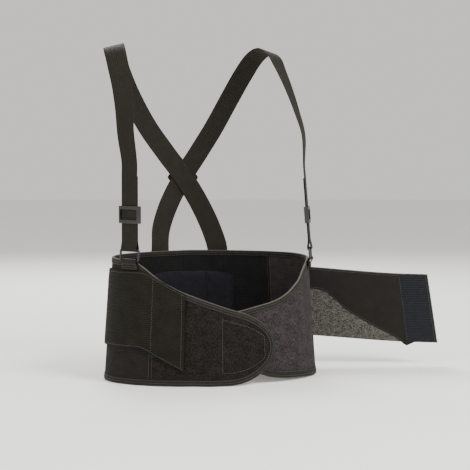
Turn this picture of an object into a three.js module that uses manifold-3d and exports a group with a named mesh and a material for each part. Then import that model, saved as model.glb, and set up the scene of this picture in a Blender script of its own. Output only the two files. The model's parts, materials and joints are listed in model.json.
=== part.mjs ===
// A lumbar support belt with shoulder braces, in the shape it has when it is worn.
// Millimetres, +Z up. The wearer faces -Y and their left side is +X. The origin is the centre of the
// waist opening, level with the belt's lower edge.
//
// The belt is cut from flat pieces that wrap round the waist, so each piece is drawn flat first:
// "s" runs round the waist from the middle of the front, positive towards the wearer's left, "z" runs
// up, and "off" is the distance outwards from the middle of the belt's own fabric.
import * as THREE from "three";
import { mergeVertices } from "three/addons/utils/BufferGeometryUtils.js";
import Module from "manifold-3d";

const wasm = await Module();
wasm.setup();
const { lerp, clamp, degToRad, euclideanModulo } = THREE.MathUtils;

// Waist
const WAIST_HALF_WIDTH = 187;
const WAIST_HALF_DEPTH = 133;
const WAIST_Z = 110; // height at which the two sizes above hold
const HIP_FLARE = 0.042; // share by which the lower edge is wider than the waist
const WAIST_SIDES = 72; // flat facets that stand in for the waist's curve

// Belt fabric
const PANEL_THICKNESS = 3;
const GAP = 0.3; // clearance between pieces that touch
const SEAM_GAP = 0.6; // between two panels that are sewn edge to edge
const BACK_HEIGHT = 218;
const BACK_SEAM_S = 345; // seam between the back panel and each side panel
const FRONT_SEAM_S = 150; // seam between each side panel and the front panel
const UNDER_PANEL_END_S = -40; // end of the left front panel, under the closure flap
const FLAP_HINGE_S = -88; // line where the closure flap bends open
const FLAP_GAP = 0.8;
const FLAP_TIP_S = 65;
const FLAP_TIP_Z = 62;
const PATCH_FROM_S = -30; // near end of the hook patch under the flap
const PATCH_MARGIN = 19;
const PATCH_THICKNESS = 1;

// Binding tape folded over the edges
const TAPE_WIDTH = 10;
const TAPE_THICKNESS = 0.8;

// Stays and their channels on the back panel
const STAY_WIDTH = 12;
const STAY_THICKNESS = 1;
const STAY_LENGTH = 162;
const STAY_FACETS = [-5.5, -2.5, 2.5, 5.5]; // in facets of the waist, from the middle of the back
const CHANNEL_WALL = 0.9;
const CHANNEL_SEAM = 4; // flat sewn margin on each side of a channel
const CHANNEL_LENGTH = 172;

// Lumbar pad on the inner face of the back panel
const PAD_WIDTH = 190;
const PAD_HEIGHT = 150;
const PAD_THICKNESS = 7;
const PAD_EDGE = 2.5;

// Pull bands: a lined elastic band, a smooth facing on its inner side, and a hook patch at its end
const BAND_HEIGHT = 132;
const BAND_THICKNESS = 2;
const FACING_THICKNESS = 0.9;
const BAND_SEAM_FROM_BACK = 136; // from the middle of the back to where a band is sewn on
const BAND_JOINTS = { left: [0, 42, 137, 232], right: [0, 50, 125, 200] }; // where the band bends
const BAND_JOINT_GAP = 0.8;
const BAND_LENGTH = { left: 330, right: 277 };
const BAND_MID_Z = 127; // height of the band's middle line at its seam
const PULLED_OUT_ANGLE = -20; // direction of the pulled out left band, in degrees from +X
const HOOK_LENGTH = 58;
const HOOK_MARGIN = 2;
const ANCHOR_TAPE_WIDTH = 14;
const ANCHOR_TAPE_GAP = 0.8; // clearance from the band's end, so that the band can open outwards

// Braces
const STRAP_WIDTH = 38;
const STRAP_THICKNESS = 1.4;
const RING_S = 197; // where each brace meets the belt's top edge
const RING_ABOVE_EDGE = 12;
const RING_BAR = 3.6;
const RING_DEPTH = 3;
const RING_OPENING = [STRAP_WIDTH + 2, 16];
const STRAP_BEND = STRAP_THICKNESS / 2 + Math.hypot(RING_BAR, RING_DEPTH) / 2 + GAP / 2; // radius of the webbing's middle where it turns round a ring bar
const TAB_SEWN = 13; // length of each ring tab that is sewn on the belt
const SLIDER_ABOVE_BAR = 60;
const SLIDER_HEIGHT = 30;
const SLIDER_BAR = 6;
const SLIDER_WALL = 2;
const SLIDER_SIDE = 3.2;
const SLIDER_CLEARANCE = 0.35;
const DOUBLED_FROM = 16; // how far above the bar the strap's two layers come together
const TAIL_END = 126; // how far above the bar the strap's tail reaches
const STRAIGHT_RUN = 150;
const STRAP_LEAN = { left: -0.01, right: 0.08 }; // outward lean of each straight run from the belt's own
const BACK_END_Z = BACK_HEIGHT - 18; // lower end of the straps, sewn on the back panel
const BACK_END_FROM_CENTRE = 59;
const CROSS_PATCH_SIZE = 46;
const CROSS_PATCH_Z = BACK_HEIGHT + 138;
const CROSS_PATCH_Y = 158.9; // inner face of the patch
const PATCH_WEBBING = 1.4;
// How far a flat strap's edges stand off the curve of the back, with a little more for its facets.
const STRAP_BOW = (1.18 * (STRAP_WIDTH / 2) ** 2) / ((2 * WAIST_HALF_WIDTH ** 2) / WAIST_HALF_DEPTH);

// Surfaces, as distances outwards from the middle of the belt's fabric
const FACE = PANEL_THICKNESS / 2;
const TAPE_FACE = FACE + GAP + TAPE_THICKNESS;
const BAND_INNER = TAPE_FACE + GAP;
const BAND_CORE = BAND_INNER + FACING_THICKNESS + GAP;
const BAND_OUTER = BAND_CORE + BAND_THICKNESS;
const FLAP_LIFT = 2 * TAPE_FACE + GAP + 0.2; // the flap lies over the left front panel

const fabric = (colour, roughness) =>
  new THREE.MeshStandardMaterial({ color: colour, roughness, metalness: 0 });
const MATERIALS = {
  loopFabric: fabric(0x2b2727, 0.95),
  ribbedElastic: fabric(0x1f1d1b, 0.85),
  smoothElastic: fabric(0x26231f, 0.7),
  meshFabric: fabric(0x1c1b1b, 0.9),
  bindingTape: fabric(0x34352f, 0.8),
  webbing: fabric(0x2c2c26, 0.75),
  hookTape: fabric(0x26272c, 0.6),
  padFoam: fabric(0x24242a, 0.9),
  mouldedPlastic: fabric(0x1a1a18, 0.4),
  springSteel: new THREE.MeshStandardMaterial({ color: 0x8a8d90, roughness: 0.35, metalness: 1 }),
};

const root = new THREE.Group();

function piece(name, geometry, material, parent = root) {
  const mesh = new THREE.Mesh(geometry, material);
  mesh.name = name;
  parent.add(mesh);
  return mesh;
}

// ---------------------------------------------------------------- wrapping flat pieces round the waist

const waist = new THREE.EllipseCurve(
  0, 0, WAIST_HALF_WIDTH, WAIST_HALF_DEPTH, -Math.PI / 2, 1.5 * Math.PI,
);
waist.arcLengthDivisions = 1440;
const GIRTH = waist.getLength();
const BAND_SEAM_S = GIRTH / 2 - BAND_SEAM_FROM_BACK;

const SIDE = GIRTH / WAIST_SIDES;

// The waist is a closed row of flat facets, so that layers at different distances stay parallel.
const waistCorners = Array.from({ length: WAIST_SIDES }, (_, i) => waist.getPointAt(i / WAIST_SIDES));
const cornerAt = (i) => waistCorners[euclideanModulo(i, WAIST_SIDES)];

function facetNormal(i) {
  const along = cornerAt(i + 1).clone().sub(cornerAt(i)).normalize();
  return new THREE.Vector2(along.y, -along.x);
}

function outwardAt(s) {
  const normal = facetNormal(Math.floor(s / SIDE));
  return new THREE.Vector3(normal.x, normal.y, 0);
}

function offsetCorner(i, z, off) {
  const [before, after] = [facetNormal(i - 1), facetNormal(i)];
  const mitre = before.clone().add(after).divideScalar(1 + before.dot(after));
  const wider = 1 + (HIP_FLARE * (WAIST_Z - z)) / WAIST_Z;
  return cornerAt(i).clone().multiplyScalar(wider).addScaledVector(mitre, off);
}

function onBelt(s, z, off) {
  const i = Math.floor(s / SIDE);
  const at = offsetCorner(i, z, off).lerp(offsetCorner(i + 1, z, off), s / SIDE - i);
  return new THREE.Vector3(at.x, at.y, z);
}

// Where a piece from one s to another needs a column of vertices: its ends and each corner between.
function stations(from, to) {
  const between = [];
  for (let i = Math.ceil((from + 1) / SIDE); i * SIDE < to - 1; i += 1) between.push(i * SIDE);
  return [from, ...between, to];
}

// A smooth height along s through a few chosen points [s, z].
function heightThrough(points) {
  const slope = (i) => {
    const a = points[Math.max(0, i - 1)];
    const b = points[Math.min(points.length - 1, i + 1)];
    return (b[1] - a[1]) / (b[0] - a[0]);
  };
  return (s) => {
    let i = 0;
    while (i < points.length - 2 && s > points[i + 1][0]) i += 1;
    const [s0, z0] = points[i];
    const [s1, z1] = points[i + 1];
    const h = s1 - s0;
    const t = clamp((s - s0) / h, 0, 1);
    const c = z0 + (z1 - z0) * t * t * (3 - 2 * t);
    return c + h * t * (1 - t) * ((1 - t) * slope(i) - t * slope(i + 1));
  };
}

// Moves each vertex of a segmented box. place() gets the box's coordinates as 0 to 1.
function shapedBox(columns, rows, place, layers = 1) {
  const box = new THREE.BoxGeometry(1, 1, 1, columns, rows, layers);
  const position = box.getAttribute("position");
  for (let i = 0; i < position.count; i += 1) {
    const moved = place(position.getX(i) + 0.5, position.getY(i) + 0.5, position.getZ(i) + 0.5);
    position.setXYZ(i, moved.x, moved.y, moved.z);
  }
  box.computeVertexNormals();
  return box;
}

// A flat piece with a column at each s in the list, wrapped between two distances from the belt's middle.
function wrapped({ at, bottom, top, inner, outer, rows = 1 }) {
  const last = at.length - 1;
  return shapedBox(last, rows, (u, v, w) => {
    const s = at[Math.round(u * last)];
    return onBelt(s, lerp(bottom(s), top(s), v), lerp(inner(s), outer(s), w));
  });
}

// ---------------------------------------------------------------- outlines

const topLeft = heightThrough([
  [UNDER_PANEL_END_S, 116], [3, 125], [41, 133], [62, 137], [85, 143], [98, 148], [111, 154],
  [126, 163], [144, 174], [162, 190], [185, 203], [215, 210], [254, 213], [300, 215],
  [GIRTH / 2, BACK_HEIGHT],
]);
const bottomLeft = heightThrough([
  [UNDER_PANEL_END_S, 32], [0, 25], [40, 16], [56, 10.5], [76, 7], [100, 4.5], [130, 3], [165, 1], [205, 0],
  [GIRTH / 2, 0],
]);
const topRightRising = heightThrough([
  [-80, 99], [0, 124], [17, 129], [34, 135], [51, 141], [68, 147], [84, 153], [102, 160],
  [119, 168], [137, 177], [156, 190], [166, 197], [183, 206], [212, 211], [254, 213], [300, 215],
  [GIRTH / 2, BACK_HEIGHT],
]);
const topRight = (s) => topRightRising(-s);
const level = (z) => () => z;
const backTop = (s) => topLeft(Math.min(s, GIRTH - s));

// The flap narrows to a rounded tip: the share of its height, above and below the tip's own height,
// that is left at s.
function tipShare(s, start, roundness) {
  const x = clamp((s - start) / (FLAP_TIP_S - start), 0, 1);
  return (1 - x ** roundness) ** (1 / roundness);
}
const flapTop = (s) => lerp(FLAP_TIP_Z, topRight(s), tipShare(s, 0, 2.5));
const flapBottom = (s) => FLAP_TIP_Z * (1 - tipShare(s, -20, 1.85));
const flapLift = (s) => FLAP_LIFT * THREE.MathUtils.smoothstep(s, FLAP_HINGE_S + 8, UNDER_PANEL_END_S - 6);
const FLAP_FROM = FLAP_HINGE_S + FLAP_GAP / 2;
const flapStations = [
  ...stations(FLAP_FROM, 8),
  ...[0.34, 0.5, 0.63, 0.74, 0.83, 0.9, 0.95, 0.985, 0.999].map((x) => FLAP_TIP_S * x),
];

// ---------------------------------------------------------------- belt panels

const LEFT_SEAM = [FRONT_SEAM_S - SEAM_GAP / 2, FRONT_SEAM_S + SEAM_GAP / 2];
const BACK_SEAM = [BACK_SEAM_S - SEAM_GAP / 2, BACK_SEAM_S + SEAM_GAP / 2];
const FIXED_FRONT_END = FLAP_HINGE_S - FLAP_GAP / 2;

function beltPanels() {
  const panel = (name, from, to, bottom, top, material) => piece(name, wrapped({
    at: stations(from, to), bottom, top, inner: level(-FACE), outer: level(FACE), rows: 2,
  }), material);
  const flat = level(0);
  panel("back_panel", BACK_SEAM[1], GIRTH - BACK_SEAM[1], flat, backTop, MATERIALS.meshFabric);
  panel("side_panel_left", LEFT_SEAM[1], BACK_SEAM[0], bottomLeft, topLeft, MATERIALS.ribbedElastic);
  panel("side_panel_right", -BACK_SEAM[0], -LEFT_SEAM[1], flat, topRight, MATERIALS.ribbedElastic);
  panel("front_panel_left", UNDER_PANEL_END_S, LEFT_SEAM[0], bottomLeft, topLeft, MATERIALS.loopFabric);
  panel("front_panel_right", -LEFT_SEAM[0], FIXED_FRONT_END, flat, topRight, MATERIALS.loopFabric);
  piece("closure_flap", wrapped({
    at: flapStations, bottom: flapBottom, top: flapTop, rows: 2,
    inner: (s) => flapLift(s) - FACE, outer: (s) => flapLift(s) + FACE,
  }), MATERIALS.loopFabric);
}

// The hook patch under the flap's tip grips the loop face of the left front panel.
function closureHookPatch() {
  const at = flapStations.filter((s) => s > PATCH_FROM_S && s < FLAP_TIP_S - PATCH_MARGIN);
  const under = (s) => flapLift(s) - FACE - GAP;
  piece("closure_hook_patch", wrapped({
    at, bottom: (s) => flapBottom(s) + PATCH_MARGIN, top: (s) => flapTop(s) - PATCH_MARGIN,
    inner: (s) => under(s) - PATCH_THICKNESS, outer: under,
  }), MATERIALS.hookTape);
}

// ---------------------------------------------------------------- binding

// A tape folded in half over an edge. Each point of the edge is [s, z, inwards s, inwards z], and the
// panel lies on the right-hand side of the way the edge runs, seen from outside.
function foldedTape(name, edge, lift = level(0)) {
  const last = edge.length - 1;
  const section = [[TAPE_WIDTH, 1], [0, 1], [0, -1], [TAPE_WIDTH, -1]];
  piece(name, shapedBox(last, 3, (u, v, w) => {
    const [s, z, inS, inZ] = edge[Math.round(u * last)];
    const [inset, side] = section[Math.round(v * 3)];
    const depth = inset > 0 ? inset : -GAP - TAPE_THICKNESS * w;
    const atS = s + inS * depth;
    return onBelt(atS, z + inZ * depth, lift(atS) + side * (FACE + GAP + TAPE_THICKNESS * w));
  }), MATERIALS.bindingTape);
}

// The edge of a panel at a height, with the tape's width measured straight down or up from it.
function edgeAlong(from, to, height, inwards) {
  const slope = (s) => height(s + 1) - height(s - 1);
  const edge = stations(from, to).map((s) => [s, height(s), 0, inwards * Math.hypot(1, slope(s) / 2)]);
  return inwards < 0 ? edge : edge.reverse();
}

// The flap's edge over the top, round the tip and back along the bottom. The tape's width is measured
// upright along the straight part and square to the edge round the tip.
function flapEdge() {
  const over = flapStations.map((s) => [s, flapTop(s)]);
  const under = flapStations.map((s) => [s, flapBottom(s)]).reverse();
  const points = [...over, [FLAP_TIP_S, FLAP_TIP_Z], ...under];
  return points.map(([s, z], i) => {
    const before = points[Math.max(0, i - 1)];
    const after = points[Math.min(points.length - 1, i + 1)];
    const along = new THREE.Vector2(after[0] - before[0], after[1] - before[1]).normalize();
    return s > 20 ? [s, z, along.y, -along.x] : [s, z, 0, -1 / along.x];
  });
}

function bindings() {
  const top = (name, from, to, height) => foldedTape(name, edgeAlong(from, to, height, -1));
  const bottom = (name, from, to, height) => foldedTape(name, edgeAlong(from, to, height, 1));
  top("binding_top_back", BACK_SEAM[1], GIRTH - BACK_SEAM[1], backTop);
  bottom("binding_bottom_back", BACK_SEAM[1], GIRTH - BACK_SEAM[1], level(0));
  top("binding_top_left", UNDER_PANEL_END_S, BACK_SEAM[0], topLeft);
  bottom("binding_bottom_left", UNDER_PANEL_END_S, BACK_SEAM[0], bottomLeft);
  top("binding_top_right", -BACK_SEAM[0], FIXED_FRONT_END, topRight);
  bottom("binding_bottom_right", -BACK_SEAM[0], FIXED_FRONT_END, level(0));
  const [low, high] = [bottomLeft, topLeft].map((height) => height(UNDER_PANEL_END_S));
  const endTape = [low + TAPE_WIDTH + 2, high - TAPE_WIDTH - 2];
  foldedTape("binding_end_left", endTape.map((z) => [UNDER_PANEL_END_S, z, 1, 0]));
  foldedTape("binding_flap", flapEdge(), flapLift);
}

// ---------------------------------------------------------------- back: stays, channels, pad

// A channel is a tape sewn down along both sides, standing up over its stay in between.
function channel(s) {
  const half = STAY_WIDTH / 2 + GAP;
  const base = FACE + GAP;
  const roof = base + STAY_THICKNESS + GAP;
  const section = [
    [-half - CHANNEL_WALL - CHANNEL_SEAM, base], [-half - CHANNEL_WALL, base], [-half, roof],
    [half, roof], [half + CHANNEL_WALL, base], [half + CHANNEL_WALL + CHANNEL_SEAM, base],
  ];
  const last = section.length - 1;
  return shapedBox(last, 2, (u, v, w) => {
    const [across, off] = section[Math.round(u * last)];
    return flatAgainst(s, across, BACK_HEIGHT / 2 + (v - 0.5) * CHANNEL_LENGTH, off + CHANNEL_WALL * w);
  });
}

// A point beside the belt at s, on a flat that doesn't turn with the belt's curve.
function flatAgainst(s, across, z, off) {
  const along = outwardAt(s).cross(new THREE.Vector3(0, 0, -1));
  return onBelt(s, z, off).addScaledVector(along, across);
}

function staysAndChannels() {
  const stayOff = FACE + GAP;
  STAY_FACETS.forEach((facet, i) => {
    const s = GIRTH / 2 + facet * SIDE;
    piece(`stay_${i + 1}`, shapedBox(1, 2, (u, v, w) => flatAgainst(
      s, (u - 0.5) * STAY_WIDTH, BACK_HEIGHT / 2 + (v - 0.5) * STAY_LENGTH, stayOff + STAY_THICKNESS * w,
    )), MATERIALS.springSteel);
    piece(`stay_channel_${i + 1}`, channel(s), MATERIALS.webbing);
  });
}

function lumbarPad() {
  const at = stations((GIRTH - PAD_WIDTH) / 2, (GIRTH + PAD_WIDTH) / 2);
  const last = at.length - 1;
  const back = -FACE - GAP;
  piece("lumbar_pad", shapedBox(last, 6, (u, v, w) => {
    const s = at[Math.round(u * last)];
    const across = (2 * s - GIRTH) / PAD_WIDTH;
    const up = Math.sin((v - 0.5) * Math.PI);
    const height = PAD_HEIGHT * (1 - 0.16 * across ** 4);
    const fullness = Math.sqrt(Math.max(0, (1 - across ** 4) * (1 - up ** 4)));
    const depth = PAD_EDGE + (PAD_THICKNESS - PAD_EDGE) * fullness;
    return onBelt(s, BACK_HEIGHT / 2 + (up * height) / 2, back - depth * (1 - w));
  }), MATERIALS.padFoam);
}

// ---------------------------------------------------------------- pull bands

// Each band's middle line falls a little towards its tab.
const bandMiddle = {
  left: heightThrough([[0, BAND_MID_Z], [100, 120.5], [250, 108.5], [330, 105.5]]),
  right: heightThrough([[0, BAND_MID_Z], [100, 128], [192, 128.5], [206, 127], [233, 113], [277, 90]]),
};
const facingBottomBelowTop = heightThrough([
  [0, 42], [115, 42], [130, 46], [145, 58], [165, 76], [200, 97], [240, 117], [268, 130],
]);

// A point of the pulled out left band, by distance from its seam, height and distance outwards. The
// belt leans in as it rises, so lines that lie upright on it when the band is wrapped are a little
// closer together at the top.
const LEAN_MEETS_Z = WAIST_Z + WAIST_Z / HIP_FLARE;
const pulledAlong = new THREE.Vector3(
  Math.cos(degToRad(PULLED_OUT_ANGLE)), Math.sin(degToRad(PULLED_OUT_ANGLE)), 0,
);
const pulledOutwards = new THREE.Vector3(-pulledAlong.y, pulledAlong.x, 0);

function onPulledBand(along, z, off) {
  const reach = (along * (LEAN_MEETS_Z - z)) / (LEAN_MEETS_Z - BAND_MID_Z);
  return onBelt(BAND_SEAM_S, z, BAND_INNER)
    .addScaledVector(pulledAlong, reach).addScaledVector(pulledOutwards, off - BAND_INNER);
}

// One layer of a band between two distances from its seam.
function bandLayer(side, [from, to], bottom, top, [inner, outer]) {
  const start = -BAND_SEAM_S;
  const at = side === "left"
    ? Array.from({ length: 4 }, (_, i) => lerp(to, from, i / 3))
    : stations(start + from, start + to).map((s) => s - start);
  const last = at.length - 1;
  return shapedBox(last, 2, (u, v, w) => {
    const along = at[Math.round(u * last)];
    const [z, off] = [lerp(bottom(along), top(along), v), lerp(inner, outer, w)];
    return side === "left" ? onPulledBand(along, z, off) : onBelt(start + along, z, off);
  });
}

function pullBand(side) {
  const middle = bandMiddle[side];
  const end = BAND_LENGTH[side];
  const top = (a) => middle(a) + BAND_HEIGHT / 2;
  const bottom = (a) => middle(a) - BAND_HEIGHT / 2;
  const hookTop = (a) => top(a) - HOOK_MARGIN;
  const hookBottom = (a) => bottom(a) + HOOK_MARGIN;
  const facingBottom = (a) => Math.max(hookBottom(a), top(a) - facingBottomBelowTop(a));
  const lining = [BAND_INNER, BAND_INNER + FACING_THICKNESS];
  const starts = BAND_JOINTS[side];
  starts.forEach((start, i) => {
    const isLast = i === starts.length - 1;
    const from = start + BAND_JOINT_GAP / 2;
    const to = isLast ? end : starts[i + 1] - BAND_JOINT_GAP / 2;
    const facingTo = isLast ? end - HOOK_LENGTH - SEAM_GAP : to;
    piece(`pull_band_${side}_${i + 1}`,
      bandLayer(side, [from, to], bottom, top, [BAND_CORE, BAND_OUTER]), MATERIALS.ribbedElastic);
    piece(`band_facing_${side}_${i + 1}`,
      bandLayer(side, [from, facingTo], facingBottom, hookTop, lining), MATERIALS.smoothElastic);
  });
  piece(`hook_patch_${side}`,
    bandLayer(side, [end - HOOK_LENGTH, end - HOOK_MARGIN], hookBottom, hookTop, lining), MATERIALS.hookTape);
}

// A narrow tape covers each band's seam on the belt.
function bandAnchorTapes() {
  for (const [side, sign] of [["left", 1], ["right", -1]]) {
    const ends = [BAND_SEAM_S + ANCHOR_TAPE_GAP, BAND_SEAM_S + ANCHOR_TAPE_GAP + ANCHOR_TAPE_WIDTH];
    const [from, to] = ends.map((s) => sign * s).sort((a, b) => a - b);
    piece(`band_anchor_tape_${side}`, wrapped({
      at: stations(from, to), rows: 1,
      bottom: level(BAND_MID_Z - BAND_HEIGHT / 2 - 4), top: level(BAND_MID_Z + BAND_HEIGHT / 2 + 2),
      inner: level(FACE + GAP), outer: level(BAND_OUTER - GAP),
    }), MATERIALS.webbing);
  }
}

// ---------------------------------------------------------------- braces

// A strip of webbing through a list of stations: where its middle is, and which way its face looks.
function webbing(strip, width, thickness) {
  const last = strip.length - 1;
  return shapedBox(last, 1, (u, v, w) => {
    const i = Math.round(u * last);
    const along = strip[Math.min(i + 1, last)].at.clone().sub(strip[Math.max(i - 1, 0)].at).normalize();
    const across = strip[i].face.clone().cross(along).normalize();
    const out = along.clone().cross(across);
    return strip[i].at.clone()
      .addScaledVector(across, (v - 0.5) * width)
      .addScaledVector(out, (w - 0.5) * thickness);
  });
}

// Stations round a bar, half a turn from the side the strip comes down to the side it goes back up.
function roundBar(centre, from, over) {
  return Array.from({ length: 5 }, (_, i) => {
    const angle = (i * Math.PI) / 4;
    const face = from.clone().multiplyScalar(Math.cos(angle)).addScaledVector(over, Math.sin(angle));
    return { at: centre.clone().addScaledVector(face, STRAP_BEND), face };
  });
}

// Each strap's run over the shoulder, above its straight run: x, y and height above the back panel, then
// the way its face looks.
const SHOULDER_RUN = {
  right: [
    [-174, -46, 214, -0.84, -0.54, 0.05], [-173, -35, 258, -0.76, -0.63, 0.15],
    [-172, -16, 300, -0.64, -0.66, 0.36], [-172, 8, 336, -0.5, -0.56, 0.66],
    [-170, 34, 363, -0.35, -0.36, 0.86], [-164, 62, 373, -0.25, 0.05, 0.97],
    [-153, 92, 363, -0.2, 0.55, 0.8], [-134, 120, 332, -0.18, 0.88, 0.42],
    [-108, 139, 287, -0.1, 0.97, 0.2], [-73, 150, 232, -0.04, 0.99, 0.08],
    [-36, 154, 184, 0, 1, 0.02], [0, 154, 138, 0, 1, 0], [30, 149, 88, 0.04, 1, 0],
    [50, 139, 40, 0.14, 0.99, 0],
  ],
  left: [
    [160, -46, 214, 0.82, -0.56, 0.05], [151, -35, 258, 0.74, -0.65, 0.15],
    [143, -16, 300, 0.62, -0.68, 0.36], [137, 8, 336, 0.48, -0.58, 0.66],
    [134, 34, 363, 0.33, -0.38, 0.86], [129, 62, 373, 0.25, 0.05, 0.97],
    [121, 94, 363, 0.2, 0.55, 0.8], [108, 122, 332, 0.18, 0.88, 0.42],
    [88, 142, 287, 0.1, 0.97, 0.2], [60, 153.6, 232, 0.04, 0.99, 0.08],
    [30, 157.4, 184, 0, 1, 0.02], [-1, 157.2, 138, 0, 1, 0], [-30, 152, 88, -0.04, 1, 0],
    [-50, 140.5, 40, -0.14, 0.99, 0],
  ],
};

// The frame of each brace's lower end: the ring's middle, up the belt, outwards and across; then the
// bar that the strap hangs on and the strap's own direction up the chest.
function braceFrame(side) {
  const sign = side === "left" ? 1 : -1;
  const s = sign * RING_S;
  const edgeZ = side === "left" ? topLeft(s) : topRight(s);
  const up = onBelt(s, edgeZ, 0).sub(onBelt(s, 0, 0)).normalize();
  const across = up.clone().cross(outwardAt(s)).normalize();
  const out = across.clone().cross(up);
  const middle = onBelt(s, edgeZ, TAPE_FACE + GAP + STRAP_THICKNESS / 2 + STRAP_BEND)
    .addScaledVector(up, RING_ABOVE_EDGE);
  const lean = up.clone().addScaledVector(out, STRAP_LEAN[side]).normalize();
  return {
    sign, up, out, across, middle, lean,
    leanOut: across.clone().cross(lean),
    bar: middle.clone().addScaledVector(up, RING_OPENING[1] / 2 + RING_BAR / 2),
  };
}

// The webbing runs from its tail down to the ring, round the ring's upper bar, up over the shoulder,
// and down to the back panel.
function strapStrip(side) {
  const f = braceFrame(side);
  const on = (along, off) => f.bar.clone().addScaledVector(f.lean, along).addScaledVector(f.leanOut, off);
  const layer = (STRAP_THICKNESS + GAP) / 2;
  const inwards = f.leanOut.clone().negate();
  const tail = [TAIL_END, DOUBLED_FROM].map((along) => ({ at: on(along, -layer), face: inwards }));
  const bend = roundBar(f.bar, inwards, f.lean.clone().negate());
  const straight = [DOUBLED_FROM, TAIL_END, STRAIGHT_RUN]
    .map((along) => ({ at: on(along, layer), face: f.leanOut }));
  const s = GIRTH / 2 + f.sign * BACK_END_FROM_CENTRE;
  const sewn = (z) => [onBelt(s, z, TAPE_FACE + GAP + STRAP_THICKNESS / 2), outwardAt(s)];
  const run = [
    ...straight.slice(1).map((station) => [station.at, station.face]),
    ...SHOULDER_RUN[side].map(([x, y, above, ...face]) => [
      new THREE.Vector3(x, y, BACK_HEIGHT + above), new THREE.Vector3(...face).normalize(),
    ]),
    sewn(BACK_HEIGHT + 4), sewn(BACK_END_Z),
  ];
  const path = new THREE.CatmullRomCurve3(run.map(([at]) => at), false, "centripetal");
  const facing = new THREE.CatmullRomCurve3(run.map(([, face]) => face), false, "catmullrom", 0.5);
  const steps = (run.length - 1) * 3;
  const curved = [];
  for (let i = 4; i <= steps; i += 1) {
    const u = i / steps;
    if (i <= steps - 3 || i === steps) curved.push({ at: path.getPoint(u), face: facing.getPoint(u) });
  }
  return [...tail, ...bend, ...straight, ...curved];
}

function roundedRectangle(shape, width, height, radius) {
  const [x, y] = [width / 2, height / 2];
  shape.moveTo(-x + radius, -y).lineTo(x - radius, -y);
  shape.absarc(x - radius, -y + radius, radius, -Math.PI / 2, 0).lineTo(x, y - radius);
  shape.absarc(x - radius, y - radius, radius, 0, Math.PI / 2).lineTo(-x + radius, y);
  shape.absarc(-x + radius, y - radius, radius, Math.PI / 2, Math.PI).lineTo(-x, -y + radius);
  shape.absarc(-x + radius, -y + radius, radius, Math.PI, 1.5 * Math.PI);
  return shape;
}

// A group with its own axes, for a piece that is drawn flat.
function placedGroup(origin, x, y, z) {
  const group = new THREE.Group();
  group.position.copy(origin);
  group.quaternion.setFromRotationMatrix(new THREE.Matrix4().makeBasis(x, y, z));
  root.add(group);
  return group;
}

function ring(side, f) {
  const [width, height] = RING_OPENING;
  const outline = roundedRectangle(new THREE.Shape(), width + 2 * RING_BAR, height + 2 * RING_BAR, 3);
  outline.holes.push(roundedRectangle(new THREE.Path(), width, height, 1));
  const bevel = 0.5;
  const geometry = new THREE.ExtrudeGeometry(outline, {
    depth: RING_DEPTH - 2 * bevel, curveSegments: 3, bevelThickness: bevel, bevelSize: bevel,
    bevelOffset: -bevel, bevelSegments: 1,
  });
  geometry.translate(0, 0, -(RING_DEPTH - 2 * bevel) / 2);
  piece(`strap_ring_${side}`, geometry, MATERIALS.mouldedPlastic, placedGroup(f.middle, f.across, f.up, f.out));
}

// The ring tab is a short loop of webbing round the ring's lower bar, both ends sewn on the belt.
function ringTab(side, f) {
  const on = (along, off) => f.middle.clone().addScaledVector(f.up, along).addScaledVector(f.out, off);
  const sewnEnd = -RING_ABOVE_EDGE - TAB_SEWN;
  const barZ = -RING_OPENING[1] / 2 - RING_BAR / 2;
  const outerLeg = STRAP_THICKNESS + GAP - STRAP_BEND;
  const inwards = f.out.clone().negate();
  const strip = [
    { at: on(sewnEnd, -STRAP_BEND), face: inwards },
    ...roundBar(on(barZ, 0), inwards, f.up),
    { at: on(barZ - 9, outerLeg), face: f.out },
    { at: on(sewnEnd, outerLeg), face: f.out },
  ];
  piece(`ring_tab_${side}`, webbing(strip, STRAP_WIDTH - 1, STRAP_THICKNESS), MATERIALS.webbing);
}

function solidOf(geometry) {
  const bare = geometry.clone();
  bare.deleteAttribute("normal");
  bare.deleteAttribute("uv");
  const merged = mergeVertices(bare, 1e-4);
  return new wasm.Manifold(new wasm.Mesh({
    numProp: 3,
    vertProperties: new Float32Array(merged.attributes.position.array),
    triVerts: new Uint32Array(merged.index.array),
  }));
}

function geometryOf(solid) {
  const mesh = solid.getMesh();
  const geometry = new THREE.BufferGeometry();
  geometry.setAttribute("position", new THREE.BufferAttribute(mesh.vertProperties, 3));
  geometry.setIndex(new THREE.BufferAttribute(mesh.triVerts, 1));
  geometry.computeVertexNormals();
  return geometry;
}

// A slider has two bars in front of the webbing, a middle bar behind it, and two sides that join them.
function slider(side, f) {
  const face = STRAP_THICKNESS + GAP / 2 + SLIDER_CLEARANCE; // from the webbing's middle to a bar
  const inside = STRAP_WIDTH + 2;
  const across = inside + SLIDER_SIDE;
  const bar = (y, z) => new THREE.BoxGeometry(across, SLIDER_BAR, SLIDER_WALL).translate(0, y, z);
  const rail = (x) => new THREE.BoxGeometry(SLIDER_SIDE, SLIDER_HEIGHT, 2 * (face + SLIDER_WALL)).translate(x, 0, 0);
  const front = face + SLIDER_WALL / 2;
  const reach = (SLIDER_HEIGHT - SLIDER_BAR) / 2;
  const solid = [bar(reach, front), bar(-reach, front), bar(0, -front), rail(across / 2), rail(-across / 2)]
    .map(solidOf).reduce((whole, part) => whole.add(part));
  const middle = f.bar.clone().addScaledVector(f.lean, SLIDER_ABOVE_BAR);
  const frame = placedGroup(middle, f.across, f.lean, f.leanOut);
  piece(`slider_${side}`, geometryOf(solid), MATERIALS.mouldedPlastic, frame);
}

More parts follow.
